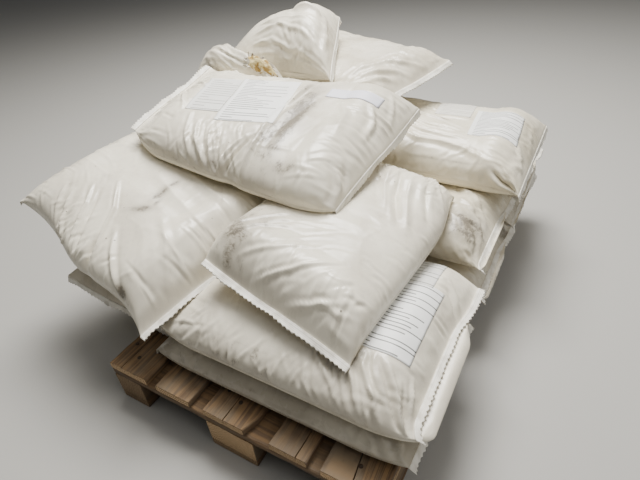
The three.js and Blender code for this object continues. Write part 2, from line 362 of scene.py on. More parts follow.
@dataclass(frozen=True)
class FilmFinish:
    """Blown polyethylene film, filled white: satin, soft-edged wrinkles, grey handling dirt and some painted
    shade.

    Attributes:
        name: The material's name.
        clean: Colour where nothing has rubbed it.
        dusty: Colour of its broad cloudy patches.
        dirt: Colour of smeared dirt and specks, and of the painted shade that the soil attribute lays on
            front faces.
        cloud_mm: Size of the cloudy patches.
        creases: Size in mm, turn, slimness and depth in metres of small and finest creases.
        grain_mm: Size of the dirt's grains, drawn coarse enough to show.
        speck_mm: Distance between specks of grit.
        roughness: Roughness where clean; dirt is duller.
    """

    name: str
    clean: str = "#EDE6D3"
    dusty: str = "#DDD5C3"
    dirt: str = "#7A7264"
    cloud_mm: float = 150
    creases: tuple[tuple[float, ...], ...] = ((44, 0.3, 0.38, 0.003), (24, 1.3, 0.5, 0.0012))
    grain_mm: float = 3.4
    speck_mm: float = 34
    roughness: float = 0.28

    def build(self) -> Material:
        """Makes the material from the film's own UV map, in metres, and its soil attribute.

        Returns:
            The material.
        """
        material, add = empty_material(self.name)
        uv = add("UVMap", uv_map="film")
        soil = add("Attribute", attribute_name="soil").outputs["Fac"]
        patches, mottle, haze, sheen, unrest = (
            add("TexNoise", {"Vector": uv, "Scale": 1000 / size, "Detail": detail, "Roughness": 0.55})
            for size, detail in ((self.cloud_mm, 3), (self.grain_mm * 8, 7), (self.grain_mm * 14, 7),
                                 (self.creases[0][0], 4), (self.cloud_mm, 2)))
        # Dirt is rubbed on in short smears
        wiped = add("Mapping", {"Vector": uv, "Rotation": (0, 0, 0.9), "Scale": (1, 0.5, 1)})
        smears = add("TexNoise", {"Vector": wiped, "Scale": 480 / self.grain_mm, "Detail": 6,
                                  "Roughness": 0.65, "Distortion": 1.2})
        grains = add("MapRange", {0: smears, 1: 0.36, 2: 0.64, 3: 0.15, 4: 0.92}, **SMOOTH)
        ragged = add("Math", {0: soil, 1: 0.62, 2: mottle}, operation="MULTIPLY_ADD")
        rubbed = add("MapRange", {0: ragged, 1: 0.74, 2: 1.1}, **SMOOTH)
        smudge = add("Math", {0: rubbed, 1: grains}, operation="MULTIPLY")
        # A broad greying follows the soil attribute, with a faint haze; on the front faces it is painted
        # shade
        veil = add("MapRange", {0: haze, 1: 0.54, 2: 0.8, 4: 0.25}, **SMOOTH)
        faint = add("Math", {0: soil, 1: 0.72, 2: veil}, operation="MULTIPLY_ADD")
        grime_and_shade = add("Math", {0: smudge, 1: faint}, operation="ADD", use_clamp=True)
        # Specks are the odd grain of grit, a millimetre or two across
        cells = add("TexVoronoi", {"Vector": uv, "Scale": 1000 / self.speck_mm})
        near = add("MapRange", {0: cells, 1: 0.07, 2: 0.05}, **SMOOTH)
        draw = add("SeparateColor", {"Color": cells.outputs["Color"]})
        pick = add("MapRange", {0: draw, 1: 0.74, 2: 0.8}, **SMOOTH)
        speck = add("Math", {0: near, 1: pick}, operation="MULTIPLY")
        marks = add("Math", {0: grime_and_shade, 1: speck}, operation="MAXIMUM")
        colour = lay_colours(add, self.clean, (
            (patches, 0.36, 0.66, 1, self.dusty), (marks, None, None, 1, self.dirt)))
        rough = add("MapRange", {0: sheen, 1: 0.3, 2: 0.7, 3: self.roughness - 0.06,
                                 4: self.roughness + 0.1}, **SMOOTH)
        dull = add("Math", {0: smudge, 1: 0.35, 2: rough}, operation="MULTIPLY_ADD", use_clamp=True)
        # Film creases are longer across the pull than along it, and lie in patches with flat film between
        restless = add("MapRange", {0: unrest, 1: 0.42, 2: 0.6, 3: 0.15}, **SMOOTH)
        bumps = []
        for size, turn, slim, depth in self.creases:
            pulled = add("Mapping", {"Vector": uv, "Rotation": (0, 0, turn), "Scale": (1, slim, 1)})
            ridges = add("TexNoise", {"Vector": pulled, "Scale": 1000 / size, "Detail": 3,
                                      "Roughness": 0.5, "Distortion": 0.5},
                         noise_type="RIDGED_MULTIFRACTAL")
            height = add("Math", {0: ridges, 1: restless}, operation="MULTIPLY")
            bumps.append((height, 0.7, depth))
        close_surface(add, colour, dull, tuple(bumps))
        return material


@dataclass(frozen=True)
class SeamFinish:
    """The same film welded double and crimped: brighter, with fine ribs along the seam.

    Attributes:
        name: The material's name.
        clean: Colour where nothing has rubbed it.
        dusty: Colour of dusty patches.
        rib_mm: Distance between the crimped ribs.
        patch_mm: Size of the dusty patches.
        roughness: Lowest roughness.
    """

    name: str = "crimped_film_seam"
    clean: str = "#EDE9DE"
    dusty: str = "#D2CCBE"
    rib_mm: float = 4.2
    patch_mm: float = 26
    roughness: float = 0.4

    def build(self) -> Material:
        """Makes the material from the strip's UV map: along the seam, then across it.

        Returns:
            The material.
        """
        material, add = empty_material(self.name)
        uv = add("UVMap", uv_map="seam")
        patches = add("TexNoise", {"Vector": uv, "Scale": 1000 / self.patch_mm, "Detail": 5})
        ribs = add("TexWave", {"Vector": uv, "Scale": wave_scale(self.rib_mm), "Distortion": 0.6},
                   bands_direction="Y")
        colour = lay_colours(add, self.clean, ((patches, 0.4, 0.72, 1, self.dusty),))
        rough = add("MapRange", {0: patches, 1: 0.3, 2: 0.7, 3: self.roughness,
                                 4: self.roughness + 0.14}, **SMOOTH)
        close_surface(add, colour, rough, ((ribs.outputs["Fac"], 0.5, 0.0006), (patches, 0.5, 0.0012)))
        return material


@dataclass(frozen=True)
class PaperFinish:
    """Coated label paper: nearly white, matt, with plain grey ruled lines and no lettering.

    Attributes:
        name: The material's name.
        paper: Its ground colour.
        rule: Colour of the ruled lines.
        pitch_mm: Distance between lines; 0 leaves the label blank.
        line_mm: Thickness of a line, drawn thicker than a real one so that it shows.
        rubbed: Colour where it has been handled.
        wear_mm: Size of handled patches.
        reach: Lengths of the shortest and longest line in metres.
        margin: Where the lines start, in metres.
    """

    name: str
    paper: str = "#EEEEEB"
    rule: str = "#5C5C5A"
    pitch_mm: float = 10.5
    line_mm: float = 2.7
    rubbed: str = "#C9C6BE"
    wear_mm: float = 45
    reach: tuple[float, float] = (0.045, 0.165)
    margin: float = 0.014

    def build(self) -> Material:
        """Makes the material from the label's UV map, in metres from one corner.

        Returns:
            The material.
        """
        material, add = empty_material(self.name)
        uv = add("UVMap", uv_map="label")
        wear = add("TexNoise", {"Vector": uv, "Scale": 1000 / self.wear_mm, "Detail": 5})
        layers = [(wear, 0.5, 0.75, 0.3, self.rubbed)]
        if self.pitch_mm:
            split = add("SeparateXYZ", {"Vector": uv})
            row = add("Math", {0: split.outputs["Y"], 1: 1000 / self.pitch_mm}, operation="MULTIPLY")
            part, number = (add("Math", {0: row}, operation=kind) for kind in ("FRACT", "FLOOR"))
            # Lines end at different lengths
            dice = add("TexWhiteNoise", {"W": number}, noise_dimensions="1D")
            end = add("MapRange", {0: dice, 3: self.reach[0], 4: self.reach[1]}, **SMOOTH)
            ink = add("Math", {0: part, 1: 0.5, 2: self.line_mm / self.pitch_mm / 2},
                      operation="COMPARE")
            for edge, side in ((end, "LESS_THAN"), (self.margin, "GREATER_THAN")):
                within = add("Math", {0: split, 1: edge}, operation=side)
                ink = add("Math", {0: ink, 1: within}, operation="MULTIPLY")
            layers.append((ink, None, None, 1, self.rule))
        colour = lay_colours(add, self.paper, tuple(layers))
        rough = add("MapRange", {0: wear, 1: 0.3, 2: 0.7, 3: 0.4, 4: 0.58}, **SMOOTH)
        close_surface(add, colour, rough, ((wear, 0.5, 0.0016),))
        return material


@dataclass(frozen=True)
class TimberFinish:
    """Rough-sawn spruce, weathered: brown, greyed in patches, with open grain and saw marks.

    Attributes:
        name: The material's name.
        heart: Darker colour of the grain.
        pale: Lighter colour of the grain.
        grey: Colour of weathered patches.
        dirt: Colour of splits and oily soil.
        ring_mm: Width of the growth rings on the sawn face.
        fibre_mm: Width of a fibre, drawn coarse enough to show.
        patch_mm: Size of the weathered patches.
    """

    name: str = "weathered_spruce"
    heart: str = "#5C4731"
    pale: str = "#8C6F4D"
    grey: str = "#7B6F5D"
    dirt: str = "#35291D"
    ring_mm: float = 11
    fibre_mm: float = 1.6
    patch_mm: float = 130

    def build(self) -> Material:
        """Makes the material from the board's UV map, in metres along and round it.

        Returns:
            The material.
        """
        material, add = empty_material(self.name)
        uv = add("UVMap", uv_map="grain")
        soil, tone = (
            add("Attribute", attribute_name=name).outputs["Fac"] for name in ("soil", "tone"))
        grains = []
        for width, drawn_out, detail, twist in ((self.ring_mm, 26, 4, 0.7), (self.fibre_mm, 30, 3, 0.0)):
            scale = (1000 / (width * drawn_out), 1000 / width, 1.0)
            place = add("Mapping", {"Vector": uv, "Scale": scale})
            grains.append(add("TexNoise",
                              {"Vector": place, "Scale": 1.0, "Detail": detail, "Distortion": twist}))
        rings, fibres = grains
        patches = add("TexNoise", {"Vector": uv, "Scale": 1000 / self.patch_mm, "Detail": 5})
        blots = add("MapRange", {0: patches, 1: 0.62, 2: 0.8, 4: 0.55}, **SMOOTH)
        dark = add("Math", {0: soil, 1: blots}, operation="MAXIMUM")
        # The tone attribute darkens towards the heart colour: at random, and on the left blocks as painted
        # shade
        colour = lay_colours(add, self.heart, (
            (rings, 0.38, 0.6, 1, self.pale), (patches, 0.42, 0.68, 0.75, self.grey),
            (fibres, 0.52, 0.7, 0.3, self.dirt), (tone, None, None, 1, self.heart),
            (dark, None, None, 1, self.dirt)))
        rough = add("MapRange", {0: rings, 1: 0.3, 2: 0.7, 3: 0.72, 4: 0.92}, **SMOOTH)
        close_surface(add, colour, rough, ((rings, 0.6, 0.0012), (fibres, 0.6, 0.0007)))
        return material


@dataclass(frozen=True)
class EndGrainFinish:
    """Cross-cut ends of the same timber: dry and open, with arcs of growth rings.

    Attributes:
        name: The material's name.
        late: Colour of late wood.
        early: Colour of early wood.
        soiled: Colour of dirt in the pores.
        dark: Colour that the tone attribute darkens an end towards; on the left blocks it paints shade.
        ring_mm: Distance between rings.
        pore_mm: Size of the pores, drawn coarse enough to show.
    """

    name: str = "spruce_end_grain"
    late: str = "#A5845E"
    early: str = "#EBCA9E"
    soiled: str = "#33271B"
    dark: str = "#2E2318"
    ring_mm: float = 5.0
    pore_mm: float = 3.0

    def build(self) -> Material:
        """Makes the material on Object coordinates, rings about an axis below the piece.

        Returns:
            The material.
        """
        material, add = empty_material(self.name)
        place = add("TexCoord").outputs["Object"]
        rings = add("TexWave", {"Vector": place, "Scale": wave_scale(self.ring_mm),
                                "Distortion": 5.0, "Detail": 3.0, "Detail Scale": 1.6},
                    wave_type="RINGS", rings_direction="Y")
        pores = add("TexNoise", {"Vector": place, "Scale": 1000 / self.pore_mm, "Detail": 4})
        tone = add("Attribute", attribute_name="tone").outputs["Fac"]
        # The tone attribute darkens the end: at random, and on the left blocks as painted shade
        colour = lay_colours(add, self.late, (
            (rings.outputs["Fac"], None, None, 1, self.early), (pores, 0.45, 0.7, 0.45, self.soiled),
            (tone, None, None, 1, self.dark)))
        rough = add("MapRange", {0: pores, 1: 0.3, 2: 0.7, 3: 0.78, 4: 0.95}, **SMOOTH)
        close_surface(add, colour, rough, ((pores, 0.7, 0.001),))
        return material


@dataclass(frozen=True)
class NailFinish:
    """Bright-drawn steel nail heads gone dull and spotted with rust.

    Attributes:
        name: The material's name.
        steel: Colour of the bare metal.
        rust: Colour of the rust.
        spot_mm: Size of the rust's spots.
    """

    name: str = "rusted_nail_steel"
    steel: str = "#4A443D"
    rust: str = "#3E2A1C"
    spot_mm: float = 5.0

    def build(self) -> Material:
        """Makes the material on Object coordinates; rust is rough and no longer metallic.

        Returns:
            The material.
        """
        material, add = empty_material(self.name)
        place = add("TexCoord").outputs["Object"]
        spots = add("TexNoise", {"Vector": place, "Scale": 1000 / self.spot_mm, "Detail": 3})
        colour = lay_colours(add, self.steel, ((spots, 0.4, 0.6, 1, self.rust),))
        metal, rough = (
            add("MapRange", {0: spots, 1: 0.35, 2: 0.65, 3: bare, 4: rusted}, **SMOOTH)
            for bare, rusted in ((0.85, 0.15), (0.42, 0.85)))
        close_surface(add, colour, rough, ((spots, 0.5, 0.0004),), {"Metallic": metal})
        return material


@dataclass(frozen=True)
class SpillFinish:
    """The sack's own granular fill where it shows: damp and yellowed by dust.

    Attributes:
        name: The material's name.
        pale: Colour of dry granules.
        deep: Colour of damp ones.
        grain_mm: Size of a granule.
        damp_mm: Size of the damp patches.
    """

    name: str = "yellowed_granules"
    pale: str = "#D6C48F"
    deep: str = "#96793F"
    grain_mm: float = 4.0
    damp_mm: float = 18.0

    def build(self) -> Material:
        """Makes the material on Object coordinates, one cell a granule.

        Returns:
            The material.
        """
        material, add = empty_material(self.name)
        place = add("TexCoord").outputs["Object"]
        cells = add("TexVoronoi", {"Vector": place, "Scale": 1000 / self.grain_mm})
        damp = add("TexNoise", {"Vector": place, "Scale": 1000 / self.damp_mm, "Detail": 4})
        colour = lay_colours(add, self.pale, ((damp, 0.42, 0.6, 1, self.deep),))
        rough = add("MapRange", {0: damp, 1: 0.3, 2: 0.7, 3: 0.7, 4: 0.9}, **SMOOTH)
        bump = add("Bump", {"Height": cells, "Strength": 0.8, "Distance": 0.0015}, invert=True)
        close_surface(add, colour, rough, (), {"Normal": bump})
        return material


class FilmGrade(Enum):
    """The film's three states on this pile, and GREYED, a darker copy that paints shade."""

    BRIGHT = FilmFinish("white_film_bright")
    DUSTY = FilmFinish("white_film_dusty", clean="#E4DDCB", dusty="#D0C7B3")
    YELLOWED = FilmFinish("white_film_yellowed", clean="#E9E1CD", dusty="#D8CFB8")
    # GREYED is the film darkened to paint the shade on the front sack at the floor
    GREYED = FilmFinish("white_film_greyed", clean="#C5BEAD", dusty="#AFA796")


class LabelKind(Enum):
    """The labels on the sacks, all without lettering."""

    PAPER = PaperFinish("label_paper")
    WORN = PaperFinish("label_paper_worn", paper="#DEDDD8", rule="#86857F", pitch_mm=15)
    SLIP = PaperFinish("label_slip", paper="#E0DFE8", pitch_mm=0)
    PRINTED = PaperFinish("film_print_lines", paper="#DEDAD0", rule="#A09D95", pitch_mm=12, line_mm=2.4)


@dataclass(frozen=True)
class Fold:
    """One fold or crease of a sack's film.

    Attributes:
        path: s and a of each of its points: s from 0 to 1 along, a from -1 to 1 across.
        height: Height in mm, below 0 for a valley.
        width: Half width in mm.
        lean: From -1 to 1, how much steeper one flank is.
    """

    path: tuple[float, ...]
    height: float
    width: float
    lean: float = 0.0


@dataclass(frozen=True)
class Creases:
    """A patch of many short creases that run roughly one way.

    Attributes:
        s: Range along the sack.
        a: Range across the sack.
        turn: Direction in degrees, 0 along the sack.
        count: How many.
        length: Shortest and longest, in mm.
        height: Largest height in mm.
        width: Half width in mm.
        spread: Scatter of the direction, in degrees.
    """

    s: tuple[float, float]
    a: tuple[float, float]
    turn: float
    count: int
    length: tuple[float, float] = (50, 130)
    height: float = 3.0
    width: float = 7.0
    spread: float = 14.0


@dataclass(frozen=True)
class Pinch:
    """A place where the side's rim is drawn in: s, side (-1 or 1), half width and depth in mm."""

    s: float
    side: int
    width: float
    depth: float


@dataclass(frozen=True)
class SmudgeAndShade:
    """A soiled place, or a patch of painted shade: (s, a), size in mm along and across, turn in degrees,
    strength.
    """

    s: float
    a: float
    along: float
    across: float
    turn: float = 0.0
    strength: float = 0.6


@dataclass(frozen=True)
class LabelPlan:
    """A label: kind, centre (s, a), size in mm along and across, turn in degrees."""

    kind: LabelKind
    s: float
    a: float
    along: float
    across: float
    turn: float = 0.0


@dataclass(frozen=True)
class SackPlan:
    """Where a sack lies and what its film is like; the plan is its solid's own.

    Attributes:
        name: The solid's node.
        at: Plan centre, when the plan is a rectangle.
        turn: Turn of that rectangle in degrees.
        length: Its length.
        width: Its width.
        corners: Plan corners, when it isn't a rectangle.
        waist: Draw-in of the front and back sides.
        thick: Thickness.
        lie: Drop of the left and right seams.
        share: Share of the thickness kept at the left and right ends.
        step: Spacing of its skin's points in mm.
        hidden: True for a sack that others cover.
        grade: The film's state; GREYED is a darker copy that paints shade.
        crumple: Height in mm of the film's facets.
        plump: Extra rise just inside the left and right seams, in mm.
        droop: How far the left and right seams hang down, in degrees.
        belly: How far the underside swells out under the left and right seams, in mm.
        folds: Its own folds.
        creases: Its own patches of creases.
        pinches: Where its sides are drawn in.
        smudges_and_shade: Where it is soiled, and where painted shade darkens its front face.
        labels: Its labels and faint printed lines.
    """

    name: str
    at: tuple[float, float] = (0, 0)
    turn: float = 0.0
    length: float = 715.0
    width: float = 440.0
    corners: tuple[tuple[float, float], ...] = ()
    waist: tuple[float, float] = (0.075, 0.075)
    thick: float = 110.0
    lie: tuple[float, float] = (0.0, 0.0)
    share: tuple[float, float] = (1.0, 1.0)
    step: float = 5.8
    hidden: bool = False
    grade: FilmGrade = FilmGrade.BRIGHT
    crumple: float = 3.0
    plump: tuple[float, float] = (4.0, 4.0)
    droop: tuple[float, float] = (75.0, 75.0)
    belly: tuple[float, float] = (0.0, 0.0)
    folds: tuple[Fold, ...] = ()
    creases: tuple[Creases, ...] = ()
    pinches: tuple[Pinch, ...] = ()
    smudges_and_shade: tuple[SmudgeAndShade, ...] = ()
    labels: tuple[LabelPlan, ...] = ()

    def plan_corners(self) -> Array:
        """Returns the four plan corners in mm from the pallet's centre."""
        if self.corners:
            return np.array(self.corners, float) - BAG.origin
        half = np.array([[-1, -1], [1, -1], [1, 1], [-1, 1]]) * [self.length / 2, self.width / 2]
        cos, sin = math.cos(math.radians(self.turn)), math.sin(math.radians(self.turn))
        return half @ np.array([[cos, sin], [-sin, cos]]) + np.array(self.at) - BAG.origin


class SackShape:
    """The smooth bag through one sack's solid."""

    def __init__(self, plan: SackPlan, node: Object) -> None:
        """Reads the solid's lower and upper heights at its own grid points.

        Args:
            plan: The sack's plan.
            node: The sack's solid from the frame.
        """
        self.plan = plan
        self.corners = plan.plan_corners()
        c = self.corners
        self.length = (np.linalg.norm(c[1] - c[0]) + np.linalg.norm(c[2] - c[3])) / 2
        self.width = (np.linalg.norm(c[3] - c[0]) + np.linalg.norm(c[2] - c[1])) / 2
        axis = (c[1] + c[2]) / 2 - (c[0] + c[3]) / 2
        self.axis = np.array([*(axis / np.linalg.norm(axis)), 0.0])
        body = (self.length / 2 - BAG.seam) / (BAG.full_length / 2 - BAG.seam)
        left = [d if d <= BAG.seam else BAG.seam + (d - BAG.seam) * body for d in BAG.stations]
        self.knots_p = np.array(left + [self.length - d for d in reversed(left[:-1])]) / self.length
        self.knots_v = np.linspace(0, 1, BAG.ring_steps + 1)
        x, y, below, above = self.profile(self.knots_p, self.knots_v)
        lower, upper = self._heights(node, x, y)
        self.bed = lower - below
        self.top = upper - above

    def profile(self, p: Array, v: Array) -> tuple[Array, ...]:
        """Shapes the bag over a flat bed.

        Args:
            p: Places along the sack, from 0 to 1.
            v: Places across it, from 0 to 1.

        Returns:
            Plan x, plan y, and the film's heights over the bed, lower and upper, in mm.
        """
        d = np.minimum(p, 1 - p) * self.length
        rise = np.clip((d - BAG.seam) / BAG.end_rise, 0, 1)
        full = (np.sin(rise * math.pi / 2) ** BAG.end_power)[:, None]
        lie = np.where(p < 0.5, self.plan.lie[0], self.plan.lie[1])[:, None]
        drop = lie * (1 - full)
        angle = ((v - 0.5) * math.pi)[None, :]
        reach = 1 - np.where(angle < 0, self.plan.waist[0], self.plan.waist[1]) * full
        t = np.sign(angle) * np.abs(np.sin(angle)) ** BAG.side_power
        swell = np.abs(np.cos(angle)) ** BAG.side_power
        q = (t * reach + 1) / 2
        c = self.corners
        pp = p[:, None]
        x, y = (
            (c[0, i] * (1 - pp) + c[1, i] * pp) * (1 - q) + (c[3, i] * (1 - pp) + c[2, i] * pp) * q
            for i in (0, 1))
        share = self.plan.share[0] + (self.plan.share[1] - self.plan.share[0]) * np.sin(pp * math.pi / 2)
        middle = self.plan.thick * BAG.rim * (1 - drop)
        slack = 1 - full * swell
        below = (middle - BAG.film_half) * slack
        above = middle + (self.plan.thick * share - middle) * full * swell + BAG.film_half * slack
        return x, y, below, above

    def _heights(self, node: Object, x: Array, y: Array) -> tuple[Array, Array]:
        """Reads the solid's lowest and highest point at each plan point.

        Args:
            node: The solid.
            x: Plan x in mm.
            y: Plan y in mm.

        Returns:
            The two heights in mm.
        """
        same_spot, above_all = 0.3, 3000
        co, polygons = read_mesh(node)
        tree = BVHTree.FromPolygons([tuple(v) for v in co], polygons)
        lower, upper = np.zeros_like(x), np.zeros_like(x)
        for index in np.ndindex(x.shape):
            near = co[np.hypot(co[:, 0] - x[index], co[:, 1] - y[index]) < same_spot, 2]
            if len(near) > 1 and np.ptp(near) > 1:
                lower[index], upper[index] = near.min(), near.max()
                continue
            hits = [tree.ray_cast(Vector((x[index], y[index], above_all * s)), Vector((0, 0, -s)))[0]
                    for s in (-1, 1)]
            if hits[0] is None or hits[1] is None:
                nearest = co[np.argmin(np.hypot(co[:, 0] - x[index], co[:, 1] - y[index])), 2]
                lower[index], upper[index] = nearest - BAG.film_half, nearest + BAG.film_half
            else:
                lower[index], upper[index] = hits[0].z, hits[1].z
        return lower, upper

    def _even_steps(self, count: int) -> Array:
        """Spaces the points evenly along the upper film.

        Args:
            count: How many points there are across.

        Returns:
            Their places across, from 0 to 1.
        """
        v = np.linspace(0, 1, 721)
        angle = (v - 0.5) * math.pi
        across = np.sign(angle) * np.abs(np.sin(angle)) ** BAG.side_power * self.width / 2
        high = np.abs(np.cos(angle)) ** BAG.side_power * self.plan.thick * 0.6
        run = np.concatenate([[0], np.cumsum(np.hypot(np.diff(across), np.diff(high)))])
        self.girth = run[-1]
        return np.interp(np.linspace(0, run[-1], count), run, v)

    def grids(self, step: float) -> tuple[Array, Array]:
        """Builds the lower and upper film as grids of points.

        Args:
            step: Rough spacing in mm.

        Returns:
            The two grids in mm, rows along the sack and columns across it.
        """
        p = np.linspace(0, 1, int(round(self.length / step)) + 1)
        v = self._even_steps(2 * int(round((self.width + self.plan.thick) / step / 2)) + 1)
        x, y, below, above = self.profile(p, v)
        bed, top = (hermite(self.knots_v, hermite(self.knots_p, g, p).T, v).T for g in (self.bed, self.top))
        lower, upper = bed + below, np.maximum(top + above, bed + below + 2 * BAG.film_half)
        lower, upper = self._thinned(p, lower, upper)
        a = np.linspace(-1, 1, len(v))[None, :]
        runs = [p[:, None] * self.length, (1 - p)[:, None] * self.length]
        for run, plump in zip(runs, self.plan.plump):
            upper = upper + plump * np.sin(math.pi * np.clip((run - 14) / 150, 0, 1)) * (1 - np.abs(a) ** 4)
        low, high = np.stack([x, y, lower], -1), np.stack([x, y, upper], -1)
        low, high = self._hung(runs, a, low, high)
        for pinch in self.plan.pinches:
            reach = np.exp(-((p - pinch.s) * self.length / pinch.width) ** 2)[:, None]
            pull = (pinch.depth * reach * smoothstep(0.35, 1.0, pinch.side * a))[..., None]
            inward = np.array([self.axis[1], -self.axis[0], 0.0]) * pinch.side
            low, high = low + inward * pull, high + inward * pull
        return low, high

    def _thinned(self, p: Array, lower: Array, upper: Array) -> tuple[Array, Array]:
        """Thins the bare film's ends, which lie inside the seam strips.

        Args:
            p: Places of the rows along the sack, from 0 to 1.
            lower: Heights of the lower film.
            upper: Heights of the upper film.

        Returns:
            The new heights.
        """
        d = (np.minimum(p, 1 - p) * self.length)[:, None]
        middle, thin = (lower + upper) / 2, 0.25 + 0.75 * smoothstep(10, 44, d)
        return middle + (lower - middle) * thin, middle + (upper - middle) * thin

    def _hung(self, runs: list[Array], a: Array, low: Array,
              high: Array) -> tuple[Array, Array]:
        """Lets the seams hang down and the ends swell out under them.

        Args:
            runs: Each row's distance from the left end, then from the right one.
            a: Places across, from -1 to 1.
            low: The lower film.
            high: The upper film.

        Returns:
            The two films.
        """
        for run, droop, way in zip(runs, self.plan.droop, (-1, 1)):
            cos, sin = math.cos(math.radians(droop)), math.sin(math.radians(droop))
            hang = np.maximum(BAG.seam - run, 0) * np.ones_like(a)
            push = BAG.seam * (1 - cos) * (1 - smoothstep(BAG.seam, 130, run)) - hang * (1 - cos)
            shift = self.axis * way * push[..., None] - UP * (hang * sin)[..., None]
            low, high = low + shift, high + shift
        for run, belly, way in zip(runs, self.plan.belly, (-1, 1)):
            body = belly * smoothstep(-1.0, -0.75, a) * (1 - smoothstep(0.15, 0.7, a))
            tuck = (0.5 * body * (1 - smoothstep(0, 90, run)))[..., None]
            swell = (2 * body * np.exp(-((run - 52) / 36) ** 2) * smoothstep(0, 20, run))[..., None]
            high = high - self.axis * way * tuck + UP * 0.25 * tuck
            low = low - self.axis * way * (tuck - swell)
        return low, high


def grid_normals(grid: Array) -> Array:
    """Returns the unit normals of a grid of points, upwards for an upper film."""
    normal = np.cross(np.gradient(grid, axis=0), np.gradient(grid, axis=1))
    return normal / np.maximum(np.linalg.norm(normal, axis=-1, keepdims=True), 1e-9)


def new_object(name: str, verts: Array, faces: list[tuple[int, ...]]) -> Object:
    """Makes a smooth-shaded mesh object.

    Args:
        name: Its name.
        verts: Its points in mm.
        faces: Its faces.

    Returns:
        The object, in the scene.
    """
    mesh = bpy.data.meshes.new(name)
    mesh.from_pydata([tuple(v) for v in verts * MM], [], faces)
    mesh.update()
    mesh.polygons.foreach_set("use_smooth", [True] * len(mesh.polygons))
    piece = bpy.data.objects.new(name, mesh)
    bpy.context.scene.collection.objects.link(piece)
    return piece


def set_uv(mesh: Mesh, name: str, places: Array) -> None:
    """Gives a mesh a UV map.

    Args:
        mesh: The mesh.
        name: The map's name.
        places: One place for each vertex.
    """
    loops = np.zeros(len(mesh.loops), int)
    mesh.loops.foreach_get("vertex_index", loops)
    mesh.uv_layers.new(name=name).data.foreach_set("uv", places[loops].reshape(-1))


def film_points(low: Array, high: Array) -> Array:
    """Returns the points of two grids one after the other."""
    return np.concatenate([low.reshape(-1, 3), high.reshape(-1, 3)])


def read_mesh(node: Object) -> tuple[Array, list[tuple[int, ...]]]:
    """Reads an object's mesh.

    Args:
        node: The object.

    Returns:
        Its points in mm, and its faces.
    """
    points = np.zeros(len(node.data.vertices) * 3)
    node.data.vertices.foreach_get("co", points)
    return points.reshape(-1, 3) * 1000, [tuple(f.vertices) for f in node.data.polygons]


def set_attribute(mesh: Mesh, name: str, values: Array) -> None:
    """Gives a mesh a number for each vertex."""
    mesh.attributes.new(name, "FLOAT", "POINT").data.foreach_set("value", values.astype(np.float32))


def closed_faces(rows: int, cols: int, skip: int = 1) -> list[tuple[int, ...]]:
    """Faces of a closed skin whose lower and upper grids follow each other.

    Args:
        rows: Rows of both grids.
        cols: Columns of the upper grid.
        skip: The lower grid has one column for this many of the upper grid's.

    Returns:
        Faces that point outwards.
    """
    low_cols = (cols - 1) // skip + 1

    def low(i: int, k: int) -> int:
        """Number of a point of the lower grid."""
        return i * low_cols + k

    def high(i: int, k: int) -> int:
        """Number of a point of the upper grid."""
        return rows * low_cols + i * cols + k

    faces = []
    for i in range(rows - 1):
        for k in range(cols - 1):
            faces.append((high(i, k), high(i + 1, k), high(i + 1, k + 1), high(i, k + 1)))
        for k in range(low_cols - 1):
            faces.append((low(i, k), low(i, k + 1), low(i + 1, k + 1), low(i + 1, k)))
        faces.append((low(i, 0), low(i + 1, 0), high(i + 1, 0), high(i, 0)))
        k, j = low_cols - 1, cols - 1
        faces.append((low(i + 1, k), low(i, k), high(i, j), high(i + 1, j)))
    last = rows - 1
    for k in range(low_cols - 1):
        run = range(k * skip, (k + 1) * skip + 1)
        faces.append((low(0, k + 1), low(0, k), *(high(0, j) for j in run)))
        faces.append((low(last, k), low(last, k + 1), *(high(last, j) for j in reversed(run))))
    return faces


class Neighbours:
    """The solids around a sack, to keep its film clear of them."""

    def __init__(self, nodes: dict[str, Object]) -> None:
        """Keeps each node's points and faces, in mm."""
        self.parts = {name: read_mesh(node) for name, node in nodes.items()}

    def around(self, own: str) -> BVHTree:
        """Collects the other solids.

        Args:
            own: The sack's own node.

        Returns:
            A search tree of every solid but that one.
        """
        verts, faces = [], []
        for name, (co, polygons) in self.parts.items():
            if name != own:
                start = len(verts)
                verts += [tuple(v) for v in co]
                faces += [tuple(n + start for n in face) for face in polygons]
        return BVHTree.FromPolygons(verts, faces)


def room_over(tree: BVHTree, grid: Array, normal: Array) -> Array:
    """Measures how far the film can rise before it meets a neighbour.

    Args:
        tree: The neighbours.
        grid: The film's points.
        normal: Its normals.

    Returns:
        The room over each point, in mm.
    """
    start_below = 2
    room = np.full(grid.shape[:2], SKIN.room_seen)
    for index in np.ndindex(room.shape):
        start, way = Vector(grid[index] - normal[index] * start_below), Vector(normal[index])
        hit = tree.ray_cast(start, way, SKIN.room_seen)
        if hit[0] is not None:
            room[index] = max(hit[3] - start_below - SKIN.clearance, 0)
    return room


